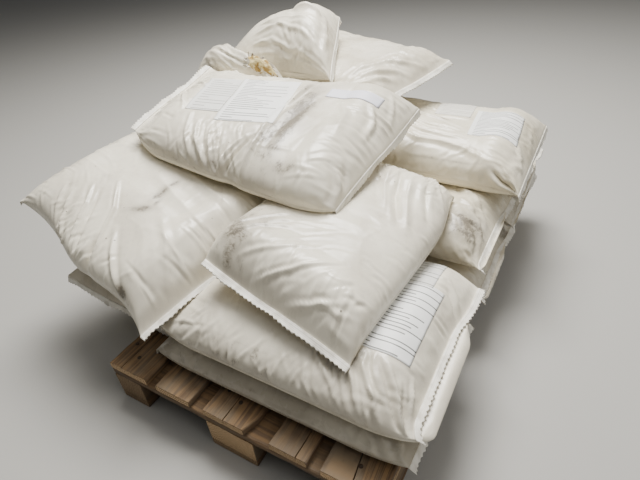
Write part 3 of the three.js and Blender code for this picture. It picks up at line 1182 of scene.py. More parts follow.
class SackSkin:
    """A sack's film, as fine lower and upper grids, and the pieces made from it."""

    def __init__(self, shape: SackShape, tree: BVHTree) -> None:
        """Builds the film: smooth bag, settled cloth, then folds and creases.

        Args:
            shape: The smooth bag.
            tree: The solids around it.
        """
        self.shape = shape
        self.plan = shape.plan
        self.lower, self.upper = shape.grids(SKIN.hidden_step if self.plan.hidden else self.plan.step)
        self.rows, self.cols = self.upper.shape[:2]
        self.s = np.linspace(0, 1, self.rows)[:, None] * np.ones((1, self.cols))
        self.a = np.linspace(-1, 1, self.cols)[None, :] * np.ones((self.rows, 1))
        self.rng = np.random.default_rng(sum(map(ord, self.plan.name)))
        if self.plan.hidden:
            return
        base, normal = self.upper.copy(), grid_normals(self.upper)
        room = room_over(tree, base, normal)
        self._crumple(normal)
        self._settle()
        rise = ((self.upper - base) * normal).sum(-1)
        self.upper = self.upper - normal * np.maximum(rise - room, 0)[..., None]

    def _flat(self, s: Array | float, a: Array | float) -> tuple:
        """Film places in mm when the sack is rolled out flat."""
        return s * self.shape.length, a * self.shape.girth / 2

    def _taper(self) -> Array:
        """0 in the end seams and at the sides' lower edge, 1 on the body."""
        d = np.minimum(self.s, 1 - self.s) * self.shape.length
        return smoothstep(BAG.seam - 2, BAG.seam + 22, d) * smoothstep(0.0, 0.05, 1 - np.abs(self.a))

    def _fold_heights(self, folds: list[Fold]) -> Array:
        """Adds up folds over the upper film.

        Args:
            folds: The folds.

        Returns:
            The height at each point, in mm.
        """
        fx, fy = self._flat(self.s, self.a)
        total = np.zeros_like(fx)
        for fold in folds:
            points = [np.array(self._flat(*q)) for q in zip(fold.path[::2], fold.path[1::2])]
            run = sum(np.linalg.norm(b - a) for a, b in zip(points, points[1:]))
            best, along, side = np.full_like(fx, np.inf), np.zeros_like(fx), np.zeros_like(fx)
            done = 0.0
            for a, b in zip(points, points[1:]):
                axis = b - a
                size = max(np.linalg.norm(axis), 1e-6)
                t = np.clip(((fx - a[0]) * axis[0] + (fy - a[1]) * axis[1]) / size**2, 0, 1)
                dx, dy = fx - a[0] - t * axis[0], fy - a[1] - t * axis[1]
                dist = np.hypot(dx, dy)
                near = dist < best
                best = np.where(near, dist, best)
                along = np.where(near, (done + t * size) / run, along)
                side = np.where(near, np.sign(axis[0] * dy - axis[1] * dx), side)
                done += size
            width = max(0.55 * fold.width, 0.95 * self.plan.step) * (1 - fold.lean * side * 0.6)
            round_off = 0.12 * fold.width
            sharp = np.exp(-(np.sqrt(best**2 + round_off**2) - round_off) / (0.75 * width))
            hollow = 0.3 * np.exp(-((best - 2.2 * width) / width) ** 2)
            ends = np.sin(np.clip(along, 0.02, 0.98) * math.pi) ** 0.6
            total += 1.12 * fold.height * (sharp - hollow) * ends
        return total

    def _scatter(self, patch: Creases) -> list[Fold]:
        """Turns a patch of creases into short folds.

        Args:
            patch: The patch.

        Returns:
            Its folds, bent a little and of mixed size.
        """
        rng, folds = self.rng, []
        for _ in range(patch.count):
            s, a = rng.uniform(*patch.s), rng.uniform(*patch.a)
            turn = math.radians(patch.turn + rng.normal(0, patch.spread))
            size = rng.uniform(*patch.length)
            ds = math.cos(turn) * size / 2 / self.shape.length
            da = math.sin(turn) * size / self.shape.girth
            bow = rng.normal(0, 0.12)
            path = (s - ds, a - da, s + da * bow, a - ds * bow, s + ds, a + da)
            height = patch.height * rng.uniform(0.35, 1) * rng.choice([1, 1, -1])
            folds.append(Fold(path, height, patch.width * rng.uniform(0.6, 1.4), rng.uniform(-0.8, 0.8)))
        return folds

    def _facets(self) -> Array:
        """Returns a net of straight soft creases with flat facets between, from 0 to 1."""
        fx, fy = self._flat(self.s, self.a)
        fx, fy = (fx + 14 * soft_noise(fx, fy, 160, self.rng), fy + 14 * soft_noise(fx, fy, 160, self.rng))
        count = int(self.shape.length * self.shape.girth / SKIN.facet**2)
        px = self.rng.uniform(0, self.shape.length, count)
        py = self.rng.uniform(-0.5, 0.5, count) * self.shape.girth
        stretched = np.where(self.rng.random(count) < 0.5, 0.55, 1.0)
        first, second = np.full_like(fx, np.inf), np.full_like(fx, np.inf)
        for x, y, k in zip(px, py, stretched):
            dist = np.hypot((fx - x) * k, fy - y)
            second = np.minimum(second, np.maximum(dist, first))
            first = np.minimum(first, dist)
        return np.clip(1 - (second - first) / 24, 0, 1) ** 1.3

    def _crumple(self, normal: Array) -> None:
        """Raises the sack's folds, creases and facets on the upper film.

        Args:
            normal: The film's normals.
        """
        fx, fy = self._flat(self.s, self.a)
        folds = list(self.plan.folds)
        for patch in self.plan.creases + EVERY_SACK:
            folds += self._scatter(patch)
        height = self._fold_heights(folds)
        calm = 0.55 + 0.45 * soft_noise(fx, fy, 330, self.rng)
        height += self.plan.crumple * self._facets() * np.clip(calm, 0.1, 1.1)
        height += 1.6 * soft_noise(fx, fy, 210, self.rng)
        self.upper = self.upper + normal * (height * self._taper() * self._stiffened())[..., None]

    def _stiffened(self) -> Array:
        """Returns the share of its creases that the film keeps; a label's paper holds it flat."""
        fx, fy = self._flat(self.s, self.a)
        share = np.ones_like(fx)
        for label in self.plan.labels:
            cx, cy = self._flat(label.s, label.a)
            u, w = (np.abs(q) for q in turned(fx - cx, fy - cy, label.turn))
            inside = smoothstep(-14, 10, label.along / 2 - u) * smoothstep(-14, 10, label.across / 2 - w)
            share = np.minimum(share, 1 - SKIN.label_grip * inside)
        return share

    def _settle(self) -> None:
        """Settles the film over its fill with a short cloth simulation."""
        rows = int(round(self.shape.length / CLOTH.step)) + 1
        cols = int(round((self.shape.width + self.plan.thick) / CLOTH.step)) + 1
        i = np.round(np.linspace(0, self.rows - 1, rows)).astype(int)
        k = np.round(np.linspace(0, self.cols - 1, cols)).astype(int)
        low, high = self.lower[np.ix_(i, k)], self.upper[np.ix_(i, k)]
        start = film_points(low, high)
        piece = new_object("settling", start, closed_faces(rows, cols))
        held = piece.vertex_groups.new(name="held")
        held.add(list(range(rows * cols)), 1.0, "REPLACE")
        edge = self._taper()[np.ix_(i, k)].reshape(-1)
        for n in np.nonzero(edge < 0.5)[0]:
            held.add([int(rows * cols + n)], 1.0, "REPLACE")
        cloth = piece.modifiers.new("cloth", "CLOTH")
        for name, value in CLOTH.settings:
            setattr(cloth.settings, name, value)
        cloth.settings.vertex_group_mass = "held"
        cloth.settings.effector_weights.gravity = 0
        cloth.collision_settings.use_collision = False
        cloth.point_cache.frame_start = 1
        cloth.point_cache.frame_end = CLOTH.frames
        scene = bpy.context.scene
        for frame in range(1, CLOTH.frames + 1):
            scene.frame_set(frame)
        depsgraph = bpy.context.evaluated_depsgraph_get()
        result = piece.evaluated_get(depsgraph).to_mesh()
        settled = np.zeros(len(result.vertices) * 3)
        result.vertices.foreach_get("co", settled)
        move = settled.reshape(-1, 3)[rows * cols:] * 1000 - start[rows * cols:]
        piece.evaluated_get(depsgraph).to_mesh_clear()
        scene.frame_set(1)
        bpy.data.objects.remove(piece)
        size = np.maximum(np.linalg.norm(move, axis=-1, keepdims=True), 1e-6)
        move = (move * np.minimum(1, CLOTH.cap / size)).reshape(rows, cols, 3)
        fx, fy = self._flat(self.s, self.a)
        lively = np.clip(0.6 + 0.5 * soft_noise(fx, fy, 260, self.rng), 0.15, 1)
        lively *= self._stiffened() * min(1, self.plan.crumple / 3)
        self.upper = self.upper + upsample(move, self.rows, self.cols) * (self._taper() * lively)[..., None]

    def read(self, s: Array, a: Array) -> Array:
        """Reads the upper film by linear interpolation.

        Args:
            s: Places along the sack, from 0 to 1.
            a: Places across it, from -1 to 1.

        Returns:
            The points in mm.
        """
        i = np.clip(s, 0, 1) * (self.rows - 1)
        k = np.clip((a + 1) / 2, 0, 1) * (self.cols - 1)
        i0 = np.minimum(i.astype(int), self.rows - 2)
        k0 = np.minimum(k.astype(int), self.cols - 2)
        di, dk = (i - i0)[..., None], (k - k0)[..., None]
        grid = self.upper
        return ((grid[i0, k0] * (1 - di) + grid[i0 + 1, k0] * di) * (1 - dk)
                + (grid[i0, k0 + 1] * (1 - di) + grid[i0 + 1, k0 + 1] * di) * dk)

    def soil(self) -> Array:
        """Returns how much the upper film is darkened at each grid point, from 0 to 1: soil, and painted
        shade on the front faces.
        """
        fx, fy = self._flat(self.s, self.a)
        total = np.zeros_like(fx)
        for mark in self.plan.smudges_and_shade:
            mx, my = self._flat(mark.s, mark.a)
            u, w = turned(fx - mx, fy - my, mark.turn)
            falloff = (SKIN.soil_and_shade_edge * u / mark.along) ** 2 + (SKIN.soil_and_shade_edge * w / mark.across) ** 2
            total = np.maximum(total, mark.strength * np.exp(-falloff))
        return np.clip(total, 0, 1)

    def build_body(self, film: Material) -> Object:
        """Makes the sack's body piece.

        Args:
            film: The film material.

        Returns:
            The new piece, in place of the sack's solid.
        """
        cut = max(1, int(round(SKIN.clip / self.shape.length * (self.rows - 1))))
        keep = slice(cut, self.rows - cut)
        lower, upper = self.lower[keep, ::2], self.upper[keep]
        faces = closed_faces(upper.shape[0], self.cols, 2)
        piece = new_object(self.plan.name + "_bag", film_points(lower, upper), faces)
        fx, fy = self._flat(self.s[keep], self.a[keep])
        low = np.stack([fx, fy + 3 * self.shape.girth], -1)[:, ::2].reshape(-1, 2)
        high = np.stack([fx, fy], -1).reshape(-1, 2)
        shift = self.rng.uniform(0, 9, 2)
        set_uv(piece.data, "film", np.concatenate([low, high]) * MM + shift)
        # The soil attribute holds the smudges' dirt and the painted shade on front faces
        set_attribute(piece.data, "soil", np.concatenate([np.zeros(len(low)), self.soil()[keep].reshape(-1)]))
        piece.data.materials.append(film)
        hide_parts(self.plan.name)
        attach(piece, "root")
        return piece

    def build_seams(self, seam: Material) -> list[Object]:
        """Makes the crimped, zigzag-cut seam strip of each end.

        Args:
            seam: The seam material.

        Returns:
            The two strips.
        """
        return [self._seam(end, seam) for end in (0, 1)]

    def _seam(self, end: int, seam: Material) -> Object:
        """Makes one seam strip, laid on the film's end and curled at its cut edge.

        Args:
            end: 0 for the left end, 1 for the right one.
            seam: The seam material.

        Returns:
            The strip.
        """
        depths, lift = np.array(STRIP.depths), np.array(STRIP.lift)
        count = 4 * int(round(self.shape.width / STRIP.step / 4)) + 1
        across = np.linspace(-1, 1, count)
        teeth = 1 - np.abs((np.arange(count) * STRIP.step / STRIP.tooth_pitch) % 1 - 0.5) * 2
        waves = []
        for knots, mean, spread in ((11, 0.6, 2.8), (41, 0, 0.8), (15, 0, 1.3)):
            waves.append(np.interp(across, np.linspace(-1, 1, knots), self.rng.normal(mean, spread, knots)))
        curl, frayed = waves[0] + waves[1], waves[2]
        inner = depths[:-2, None] / self.shape.length * np.ones(count)
        base = self.read(1 - inner if end else inner, across * np.ones_like(inner))
        rim, outward = base[-1], base[-1] - base[-2]
        outward = outward / np.linalg.norm(outward, axis=-1, keepdims=True)
        tail = np.stack([rim + outward * (STRIP.tail[0] + frayed * 0.5)[:, None],
                         rim + outward * (STRIP.tail[1] + frayed - STRIP.tooth_depth * teeth)[:, None]])
        grid = np.concatenate([base, tail])
        flutter = curl[None, :] * np.clip(1 - depths / 18, 0, 1.1)[:, None] ** 1.4
        normal = grid_normals(grid if end else grid[::-1])
        normal = normal if end else normal[::-1]
        facing = self.shape.axis * (1 if end else -1) + UP
        normal = normal * np.sign((normal * facing).sum(-1, keepdims=True) + 1e-9)
        mids = grid + normal * (lift[:, None] + flutter)[..., None]
        low, high = mids - normal * STRIP.half - UP * 0.6, mids + normal * STRIP.half
        w = depths[:, None] * np.ones(count)
        if not end:
            low, high, w = low[::-1], high[::-1], w[::-1]
        name = f"{self.plan.name}_seam_{'right' if end else 'left'}"
        piece = new_object(name, film_points(low, high), closed_faces(len(depths), count))
        u = across[None, :] * self.shape.width / 2 * np.ones((len(depths), 1))
        set_uv(piece.data, "seam", np.tile(np.stack([u, w], -1).reshape(-1, 2), (2, 1)) * MM)
        piece.data.materials.append(seam)
        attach(piece, "root")
        return piece

    def build_label(self, index: int, label: LabelPlan, paper: Material) -> Object:
        """Makes one label that lies on the film.

        Args:
            index: Its number on this sack.
            label: Its plan.
            paper: Its material.

        Returns:
            The label.
        """
        nu, nw = (max(3, int(size / SKIN.label_step) + 1) for size in (label.along, label.across))
        u = np.linspace(-0.5, 0.5, nu)[:, None] * label.along * np.ones((1, nw))
        w = np.linspace(-0.5, 0.5, nw)[None, :] * label.across * np.ones((nu, 1))
        cx, cy = self._flat(label.s, label.a)
        dx, dy = turned(u, w, -label.turn)
        base = self.read((cx + dx) / self.shape.length, (cy + dy) * 2 / self.shape.girth)
        normal = grid_normals(base)
        verts = film_points(base + normal * 0.1, base + normal * (1.1 + 0.08 * index))
        piece = new_object(f"{self.plan.name}_label_{index + 1}", verts, closed_faces(nu, nw))
        places = np.stack([u + label.along / 2, w + label.across / 2], -1).reshape(-1, 2)
        set_uv(piece.data, "label", np.tile(places, (2, 1)) * MM)
        piece.data.materials.append(paper)
        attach(piece, "root")
        return piece


# Creases that every sack has: radiating from the ends and pulled across the sides
EVERY_SACK = (
    Creases((0.05, 0.17), (-0.9, 0.9), 0, 22, (40, 110), 2.4, 4.4, 8),
    Creases((0.83, 0.95), (-0.9, 0.9), 0, 22, (40, 110), 2.4, 4.4, 8),
    Creases((0.15, 0.85), (-0.95, -0.6), 90, 18, (40, 100), 2.4, 6, 18),
    Creases((0.15, 0.85), (0.6, 0.95), 90, 18, (40, 100), 2.4, 6, 18),
)

SACKS: tuple[SackPlan, ...] = (
    SackPlan(
        "sack_base_front", at=(480, 292), length=725, waist=(-0.05, -0.05), thick=96,
        # Its film is the GREYED copy: painted shade under the sacks that overhang it
        grade=FilmGrade.GREYED, droop=(80, 45),
        folds=(
            Fold((0.86, -0.5, 0.93, -0.8, 0.96, -0.96), 8, 8),
            Fold((0.8, -0.6, 0.87, -0.85, 0.9, -0.97), -6, 7)),
        creases=(Creases((0.8, 0.97), (-0.98, -0.5), 70, 18, (30, 90), 4, 6),),
        # The long smudge on its front face is painted shade
        smudges_and_shade=(SmudgeAndShade(0.2, -0.95, 640, 190, 0, 0.42), SmudgeAndShade(0.9, -0.8, 120, 60, 0, 0.3))),
    SackPlan(
        "sack_base_middle", at=(492, 800), width=385, thick=102, grade=FilmGrade.DUSTY, droop=(75, 30),
        belly=(0, 24),
        creases=(Creases((0.86, 0.98), (0.2, 0.95), 30, 16, (30, 80), 5, 6, 40),),
        smudges_and_shade=(SmudgeAndShade(0.95, 0.6, 80, 90, 0, 0.9),)),
    SackPlan(
        "sack_base_back", at=(492, 1195), width=395, thick=103, grade=FilmGrade.DUSTY, droop=(75, 50),
        belly=(0, 16),
        smudges_and_shade=(SmudgeAndShade(0.95, -0.2, 60, 300, 0, 0.5),)),
    SackPlan(
        "sack_base_left", at=(-90, 490), turn=90, width=410, thick=116, grade=FilmGrade.DUSTY,
        smudges_and_shade=(SmudgeAndShade(0.12, 0.5, 160, 200, 0, 0.35),)),
    SackPlan(
        "sack_second_front", at=(492, 326), width=455, waist=(-0.1, -0.1), thick=106, plump=(4, 8),
        droop=(80, 0), belly=(0, 34), step=4.0, crumple=2,
        folds=(
            Fold((0.68, -0.52, 0.76, -0.72, 0.82, -0.95), 6, 8),
            Fold((0.74, -0.5, 0.83, -0.75, 0.88, -0.95), 7, 8, 0.4),
            Fold((0.8, -0.48, 0.86, -0.66, 0.93, -0.92), -6, 7),
            Fold((0.84, -0.5, 0.9, -0.7, 0.95, -0.92), 8, 7, 0.4),
            Fold((0.6, -0.6, 0.7, -0.8, 0.76, -0.97), 5, 8),
            Fold((0.9, -0.6, 0.945, -0.8, 0.965, -0.95), -9, 7),
            Fold((0.92, -0.5, 0.96, -0.75, 0.975, -0.9), 9, 7),
            Fold((0.78, 0.52, 0.88, 0.6, 0.96, 0.45), 5, 8),
            Fold((0.84, 0.45, 0.9, 0.48, 0.97, 0.35), -5, 8)),
        creases=(
            Creases((0.6, 0.84), (-0.95, -0.5), -64, 26, (60, 150), 3.2, 4.4, 6),
            Creases((0.12, 0.62), (-0.97, -0.7), 78, 40, (30, 90), 3.0, 4.4, 14)),
        smudges_and_shade=(
            SmudgeAndShade(0.72, -0.55, 130, 80, 0, 0.5), SmudgeAndShade(0.86, -0.7, 120, 60, -60, 0.35),
            # The long smudge along the front face, at a -1.0, is painted shade
            SmudgeAndShade(0.35, -1.0, 800, 190, 0, 0.45), SmudgeAndShade(0.72, -0.6, 110, 60, 30, 0.7),
            SmudgeAndShade(0.42, -0.78, 420, 9, 1, 0.45)),
        labels=(
            LabelPlan(LabelKind.PAPER, 0.79, -0.02, 150, 216, 0),
            LabelPlan(LabelKind.WORN, 0.79, 0.62, 90, 120, 0))),
    SackPlan(
        "sack_second_middle", at=(472, 822), width=400, thick=107, grade=FilmGrade.YELLOWED, droop=(75, 40),
        belly=(0, 20), plump=(4, 10),
        folds=(
            Fold((0.7, 0.5, 0.85, 0.2, 0.95, -0.2), 6, 10),
            Fold((0.74, 0.1, 0.86, -0.1, 0.94, -0.45), 5, 9),
            Fold((0.88, -0.3, 0.93, -0.6, 0.955, -0.85), -8, 8),
            Fold((0.9, -0.2, 0.955, -0.55, 0.97, -0.8), 8, 7)),
        creases=(
            Creases((0.7, 0.95), (-0.7, 0.6), -70, 16, (60, 150), 3, 7, 12),
            Creases((0.88, 0.98), (-0.95, -0.2), 40, 14, (20, 60), 4.5, 5, 50)),
        smudges_and_shade=(SmudgeAndShade(0.88, -0.5, 130, 130, 0, 0.8), SmudgeAndShade(0.93, -0.75, 60, 60, 0, 0.5))),
    SackPlan(
        "sack_second_back", at=(494, 1218), width=380, thick=108, grade=FilmGrade.DUSTY, droop=(75, 20),
        belly=(0, 26), plump=(4, 10),
        creases=(Creases((0.85, 0.98), (-0.9, 0.9), 60, 16, (30, 80), 4, 6, 30),),
        smudges_and_shade=(SmudgeAndShade(0.95, -0.5, 60, 160, 0, 0.55),)),
    SackPlan(
        "sack_third_right", at=(510, 1082), length=690, thick=142, grade=FilmGrade.YELLOWED, step=4.6,
        plump=(4, 12), crumple=2.0,
        folds=(
            Fold((0.42, -0.1, 0.52, -0.22, 0.64, -0.28), 6, 8),
            Fold((0.4, -0.25, 0.5, -0.38, 0.6, -0.42, 0.7, -0.44), 7, 9, 0.4),
            Fold((0.4, -0.45, 0.5, -0.55, 0.6, -0.55, 0.72, -0.6, 0.84, -0.74), 8, 12, 0.5),
            Fold((0.42, 0.1, 0.52, 0.0, 0.6, -0.04), 4, 7), Fold((0.42, 0.3, 0.5, 0.22, 0.6, 0.2), 4, 7),
            Fold((0.86, -0.82, 0.9, -0.9, 0.95, -0.92), -14, 12),
            Fold((0.88, -0.7, 0.93, -0.84, 0.965, -0.9), 10, 8),
            Fold((0.9, -0.2, 0.94, -0.45, 0.96, -0.7), 5, 9),
            Fold((0.93, 0.3, 0.95, 0.0, 0.965, -0.4), 4, 8)),
        creases=(
            Creases((0.42, 0.62), (-0.4, 0.4), -12, 12, (60, 150), 3, 6, 8),
            Creases((0.9, 0.97), (-0.7, 0.7), 80, 10, (40, 120), 3, 6, 10)),
        smudges_and_shade=(
            SmudgeAndShade(0.48, -0.6, 110, 90, 0, 0.4), SmudgeAndShade(0.66, -0.8, 280, 9, 2, 0.5),
            SmudgeAndShade(0.565, -0.03, 40, 12, -8, 0.7)),
        labels=(
            LabelPlan(LabelKind.PAPER, 0.8, 0.04, 140, 190, 3),
            LabelPlan(LabelKind.PRINTED, 0.585, 0.36, 120, 130, 3))),
    SackPlan("sack_third_left", at=(-50, 990), turn=90, length=600, width=400, thick=105, hidden=True),
    SackPlan(
        "sack_left", corners=((-450, 178), (162, 28), (312, 500), (-346, 606)), thick=115, lie=(0, 0.5),
        step=4.0, crumple=1.3, plump=(4, 8), droop=(60, 0),
        folds=(
            Fold((0.32, -0.29, 0.4, -0.52, 0.47, -0.82, 0.5, -0.96), 8, 8, 0.4),
            Fold((0.38, -0.3, 0.46, -0.6, 0.53, -0.9), -7, 9),
            Fold((0.39, -0.09, 0.51, -0.36, 0.6, -0.72, 0.62, -0.9), 9, 8, -0.3),
            Fold((0.28, -0.5, 0.35, -0.8, 0.41, -0.96), 7, 9),
            Fold((0.22, -0.5, 0.28, -0.75, 0.33, -0.96), 5, 9),
            Fold((0.57, -0.68, 0.6, -0.85, 0.6, -0.99), -10, 13),
            Fold((0.6, -0.5, 0.68, -0.68, 0.76, -0.84, 0.82, -0.96), 8, 11),
            Fold((0.45, 0.3, 0.62, 0.2, 0.85, 0.1), 3, 26), Fold((0.5, 0.6, 0.7, 0.5, 0.9, 0.45), 4, 22),
            Fold((0.7, -0.1, 0.84, -0.3, 0.93, -0.5), 4, 16)),
        creases=(
            Creases((0.3, 0.56), (-0.98, -0.68), 78, 28, (35, 100), 3.4, 3.6, 7),
            Creases((0.1, 0.35), (-0.9, -0.2), -55, 9, (60, 140), 2, 5, 10),
            Creases((0.55, 0.9), (-0.6, 0.6), -60, 8, (40, 110), 1.3, 5, 20)),
        pinches=(Pinch(0.6, -1, 20, 4), Pinch(0.52, -1, 110, -24)),
        smudges_and_shade=(
            SmudgeAndShade(0.585, 0.12, 26, 84, 10, 0.8), SmudgeAndShade(0.605, -0.17, 28, 70, -40, 0.85),
            SmudgeAndShade(0.575, 0.3, 16, 40, 0, 0.9), SmudgeAndShade(0.62, 0.0, 14, 50, 20, 0.8),
            SmudgeAndShade(0.82, -0.9, 50, 30, 0, 1), SmudgeAndShade(0.7, 0.6, 120, 60, 30, 0.3))),
    SackPlan(
        "sack_front", corners=((662, 125), (728, 792), (282, 850), (226, 203)), thick=112, waist=(0, 0),
        lie=(0.6, 0), step=4.0, crumple=1.2, plump=(8, 10), droop=(12, 80),
        folds=(
            Fold((0.04, 0.28, 0.12, -0.1, 0.25, -0.45), 6, 7, 0.3),
            Fold((0.03, -0.06, 0.07, -0.38, 0.12, -0.64), 6, 7, 0.3),
            Fold((0.08, 0.5, 0.16, 0.15, 0.27, -0.2), 5, 7, 0.3),
            Fold((0.13, 0.7, 0.22, 0.5, 0.3, 0.2), 5, 8, 0.3),
            Fold((0.17, 0.78, 0.26, 0.62, 0.34, 0.4), 4, 8),
            Fold((0.86, -0.2, 0.71, -0.33, 0.56, -0.56), -9, 13),
            Fold((0.84, -0.35, 0.72, -0.45, 0.55, -0.68), 7, 15),
            Fold((0.88, -0.05, 0.74, -0.15, 0.6, -0.36), 6, 16),
            Fold((0.9, -0.5, 0.78, -0.62, 0.66, -0.8), -5, 14),
            Fold((0.95, -0.3, 0.9, -0.62, 0.8, -0.9), 5, 10),
            Fold((0.5, 0.4, 0.42, 0.0, 0.45, -0.4), 3.5, 30)),
        creases=(
            Creases((0.05, 0.34), (-0.6, 0.7), -55, 22, (90, 230), 1.8, 4, 6),
            Creases((0.04, 0.2), (-0.85, -0.4), -70, 12, (30, 90), 3.5, 5, 18),
            Creases((0.78, 0.95), (-0.7, 0.5), 25, 12, (50, 120), 2.6, 7, 14)),
        pinches=(Pinch(1.0, -1, 120, 46),),
        smudges_and_shade=(
            SmudgeAndShade(0.15, 0.7, 200, 140, 40, 0.72), SmudgeAndShade(0.25, 0.5, 150, 80, 0, 0.55),
            SmudgeAndShade(0.2, 0.2, 200, 60, -50, 0.22))),
    SackPlan("sack_fourth_back", at=(-60, 1150), length=640, width=380, thick=100, hidden=True),
    SackPlan(
        "sack_back_right", at=(96, 1200), turn=-20, width=450, thick=105, crumple=2.5, droop=(75, 30),
        grade=FilmGrade.DUSTY,
        folds=(
            Fold((0.8, -0.75, 0.81, -0.4, 0.85, 0.0, 0.95, 0.45), 8, 9, 0.4),
            Fold((0.84, -0.7, 0.86, -0.4, 0.9, -0.1, 0.96, 0.2), 6, 8),
            Fold((0.88, -0.65, 0.9, -0.4, 0.94, -0.1), 6, 7),
            Fold((0.76, -0.7, 0.76, -0.3, 0.8, 0.2, 0.88, 0.6), 4, 10)),
        creases=(Creases((0.8, 0.96), (-0.8, 0.3), 62, 14, (50, 130), 3, 6, 12),),
        smudges_and_shade=(SmudgeAndShade(0.8, 0.3, 100, 120, 0, 0.2),)),
    SackPlan(
        "sack_back_top", corners=((-320, 1030), (210, 945), (75, 1280), (-330, 1190)), thick=156,
        share=(0.5, 1), step=4.6, crumple=2.0, plump=(2, 14),
        folds=(
            Fold((0.62, 0.1, 0.74, 0.12, 0.86, 0.1), 17, 26),
            Fold((0.3, -0.3, 0.55, -0.25, 0.8, -0.5), 5, 9, 0.3),
            Fold((0.28, -0.5, 0.5, -0.48, 0.74, -0.75), 5, 9, 0.3),
            Fold((0.35, -0.1, 0.6, -0.08, 0.84, -0.25), 4, 9, 0.3),
            Fold((0.88, 0.2, 0.9, -0.2, 0.9, -0.7), 8, 10),
            Fold((0.94, 0.1, 0.95, -0.3, 0.95, -0.7), -4, 8)),
        creases=(
            Creases((0.25, 0.82), (-0.85, 0.2), -16, 22, (90, 220), 2.4, 4.6, 6),
            Creases((0.9, 0.98), (-0.8, 0.5), 85, 12, (60, 160), 3, 6, 6),
            Creases((0.6, 0.86), (-0.9, -0.4), -50, 14, (40, 110), 3, 6, 12)),
        smudges_and_shade=(SmudgeAndShade(0.6, -0.9, 120, 50, 0, 0.4),)),
    SackPlan(
        "sack_torn", corners=((-345, 885), (78, 903), (50, 964), (-362, 1018)), thick=215, step=5.0,
        crumple=3, plump=(2, 2),
        folds=(
            Fold((0.1, 0.5, 0.35, 0.1, 0.62, -0.1), 9, 9, 0.4),
            Fold((0.06, 0.1, 0.3, -0.15, 0.6, -0.3), -8, 8),
            Fold((0.2, 0.6, 0.5, 0.3, 0.85, 0.2), 7, 8, -0.3)),
        creases=(Creases((0.08, 0.92), (-0.7, 0.7), -24, 34, (50, 150), 4.5, 5, 16),),
        smudges_and_shade=(SmudgeAndShade(0.72, -0.05, 120, 110, 0, 0.9), SmudgeAndShade(0.5, -0.2, 160, 80, 0, 0.35))),
    SackPlan(
        "sack_top", corners=((-232, 474), (474, 456), (508, 962), (-262, 880)), thick=122,
        waist=(-0.15, 0.03), lie=(-0.6, 0), step=4.0, crumple=2, plump=(0, 14), droop=(-15, 85),
        folds=(
            Fold((0.6, 0.68, 0.585, 0.15, 0.58, -0.16, 0.605, -0.54), 11, 10, -0.4),
            Fold((0.6, -0.48, 0.61, -0.7, 0.615, -0.93), 9, 10, -0.4),
            Fold((0.585, -0.5, 0.55, -0.76, 0.53, -0.96), -11, 8),
            Fold((0.56, -0.5, 0.52, -0.72, 0.5, -0.95), 8, 8),
            Fold((0.31, -0.5, 0.36, -0.72, 0.44, -0.92), 9, 9, 0.3),
            Fold((0.38, -0.5, 0.42, -0.7, 0.475, -0.92), 8, 8),
            Fold((0.43, -0.48, 0.46, -0.68, 0.495, -0.92), -7, 6),
            Fold((0.35, -0.5, 0.39, -0.7, 0.455, -0.94), -7, 6),
            Fold((0.25, -0.4, 0.29, -0.66, 0.36, -0.9), 6, 9),
            Fold((0.68, 0.28, 0.65, -0.34, 0.66, -0.64), -5, 26),
            Fold((0.92, -0.55, 0.955, -0.68, 0.965, -0.9), 9, 8, 0.4),
            Fold((0.93, -0.45, 0.975, -0.7, 0.975, -0.88), -7, 8),
            Fold((0.88, 0.38, 0.92, 0.15, 0.93, -0.12), 8, 8, 0.3),
            Fold((0.78, 0.3, 0.84, 0.05, 0.87, -0.3), 4, 14), Fold((0.9, 0.7, 0.93, 0.5, 0.95, 0.3), 5, 7),
            Fold((0.05, 0.1, 0.12, -0.1, 0.2, -0.4), 6, 8), Fold((0.05, 0.4, 0.12, 0.25, 0.2, 0.1), 6, 8)),
        creases=(
            Creases((0.28, 0.56), (-0.93, -0.45), -66, 34, (40, 130), 4.2, 3.4, 8),
            Creases((0.04, 0.2), (-0.2, 0.8), -20, 18, (40, 110), 4, 6, 18),
            Creases((0.88, 0.97), (-0.6, 0.8), 15, 16, (30, 90), 3, 5, 12)),
        pinches=(Pinch(0.55, -1, 34, 8),),
        smudges_and_shade=(
            SmudgeAndShade(0.665, -0.1, 62, 340, 8, 1), SmudgeAndShade(0.64, -0.45, 120, 190, 0, 0.7),
            SmudgeAndShade(0.77, -0.74, 150, 50, 0, 0.62), SmudgeAndShade(0.6, 0.5, 50, 100, 0, 0.6),
            # The long smudge at a -1.05 darkens the front face: painted shade
            SmudgeAndShade(0.49, -0.85, 90, 60, 0, 0.6), SmudgeAndShade(0.3, -1.05, 700, 190, 0, 0.45),
            SmudgeAndShade(0.86, -0.1, 80, 200, 0, 0.25)),
        labels=(
            LabelPlan(LabelKind.WORN, 0.255, 0.02, 110, 200, 12),
            LabelPlan(LabelKind.PAPER, 0.455, 0.1, 185, 250, 12),
            LabelPlan(LabelKind.SLIP, 0.8, 0.44, 150, 44, 2))),
)


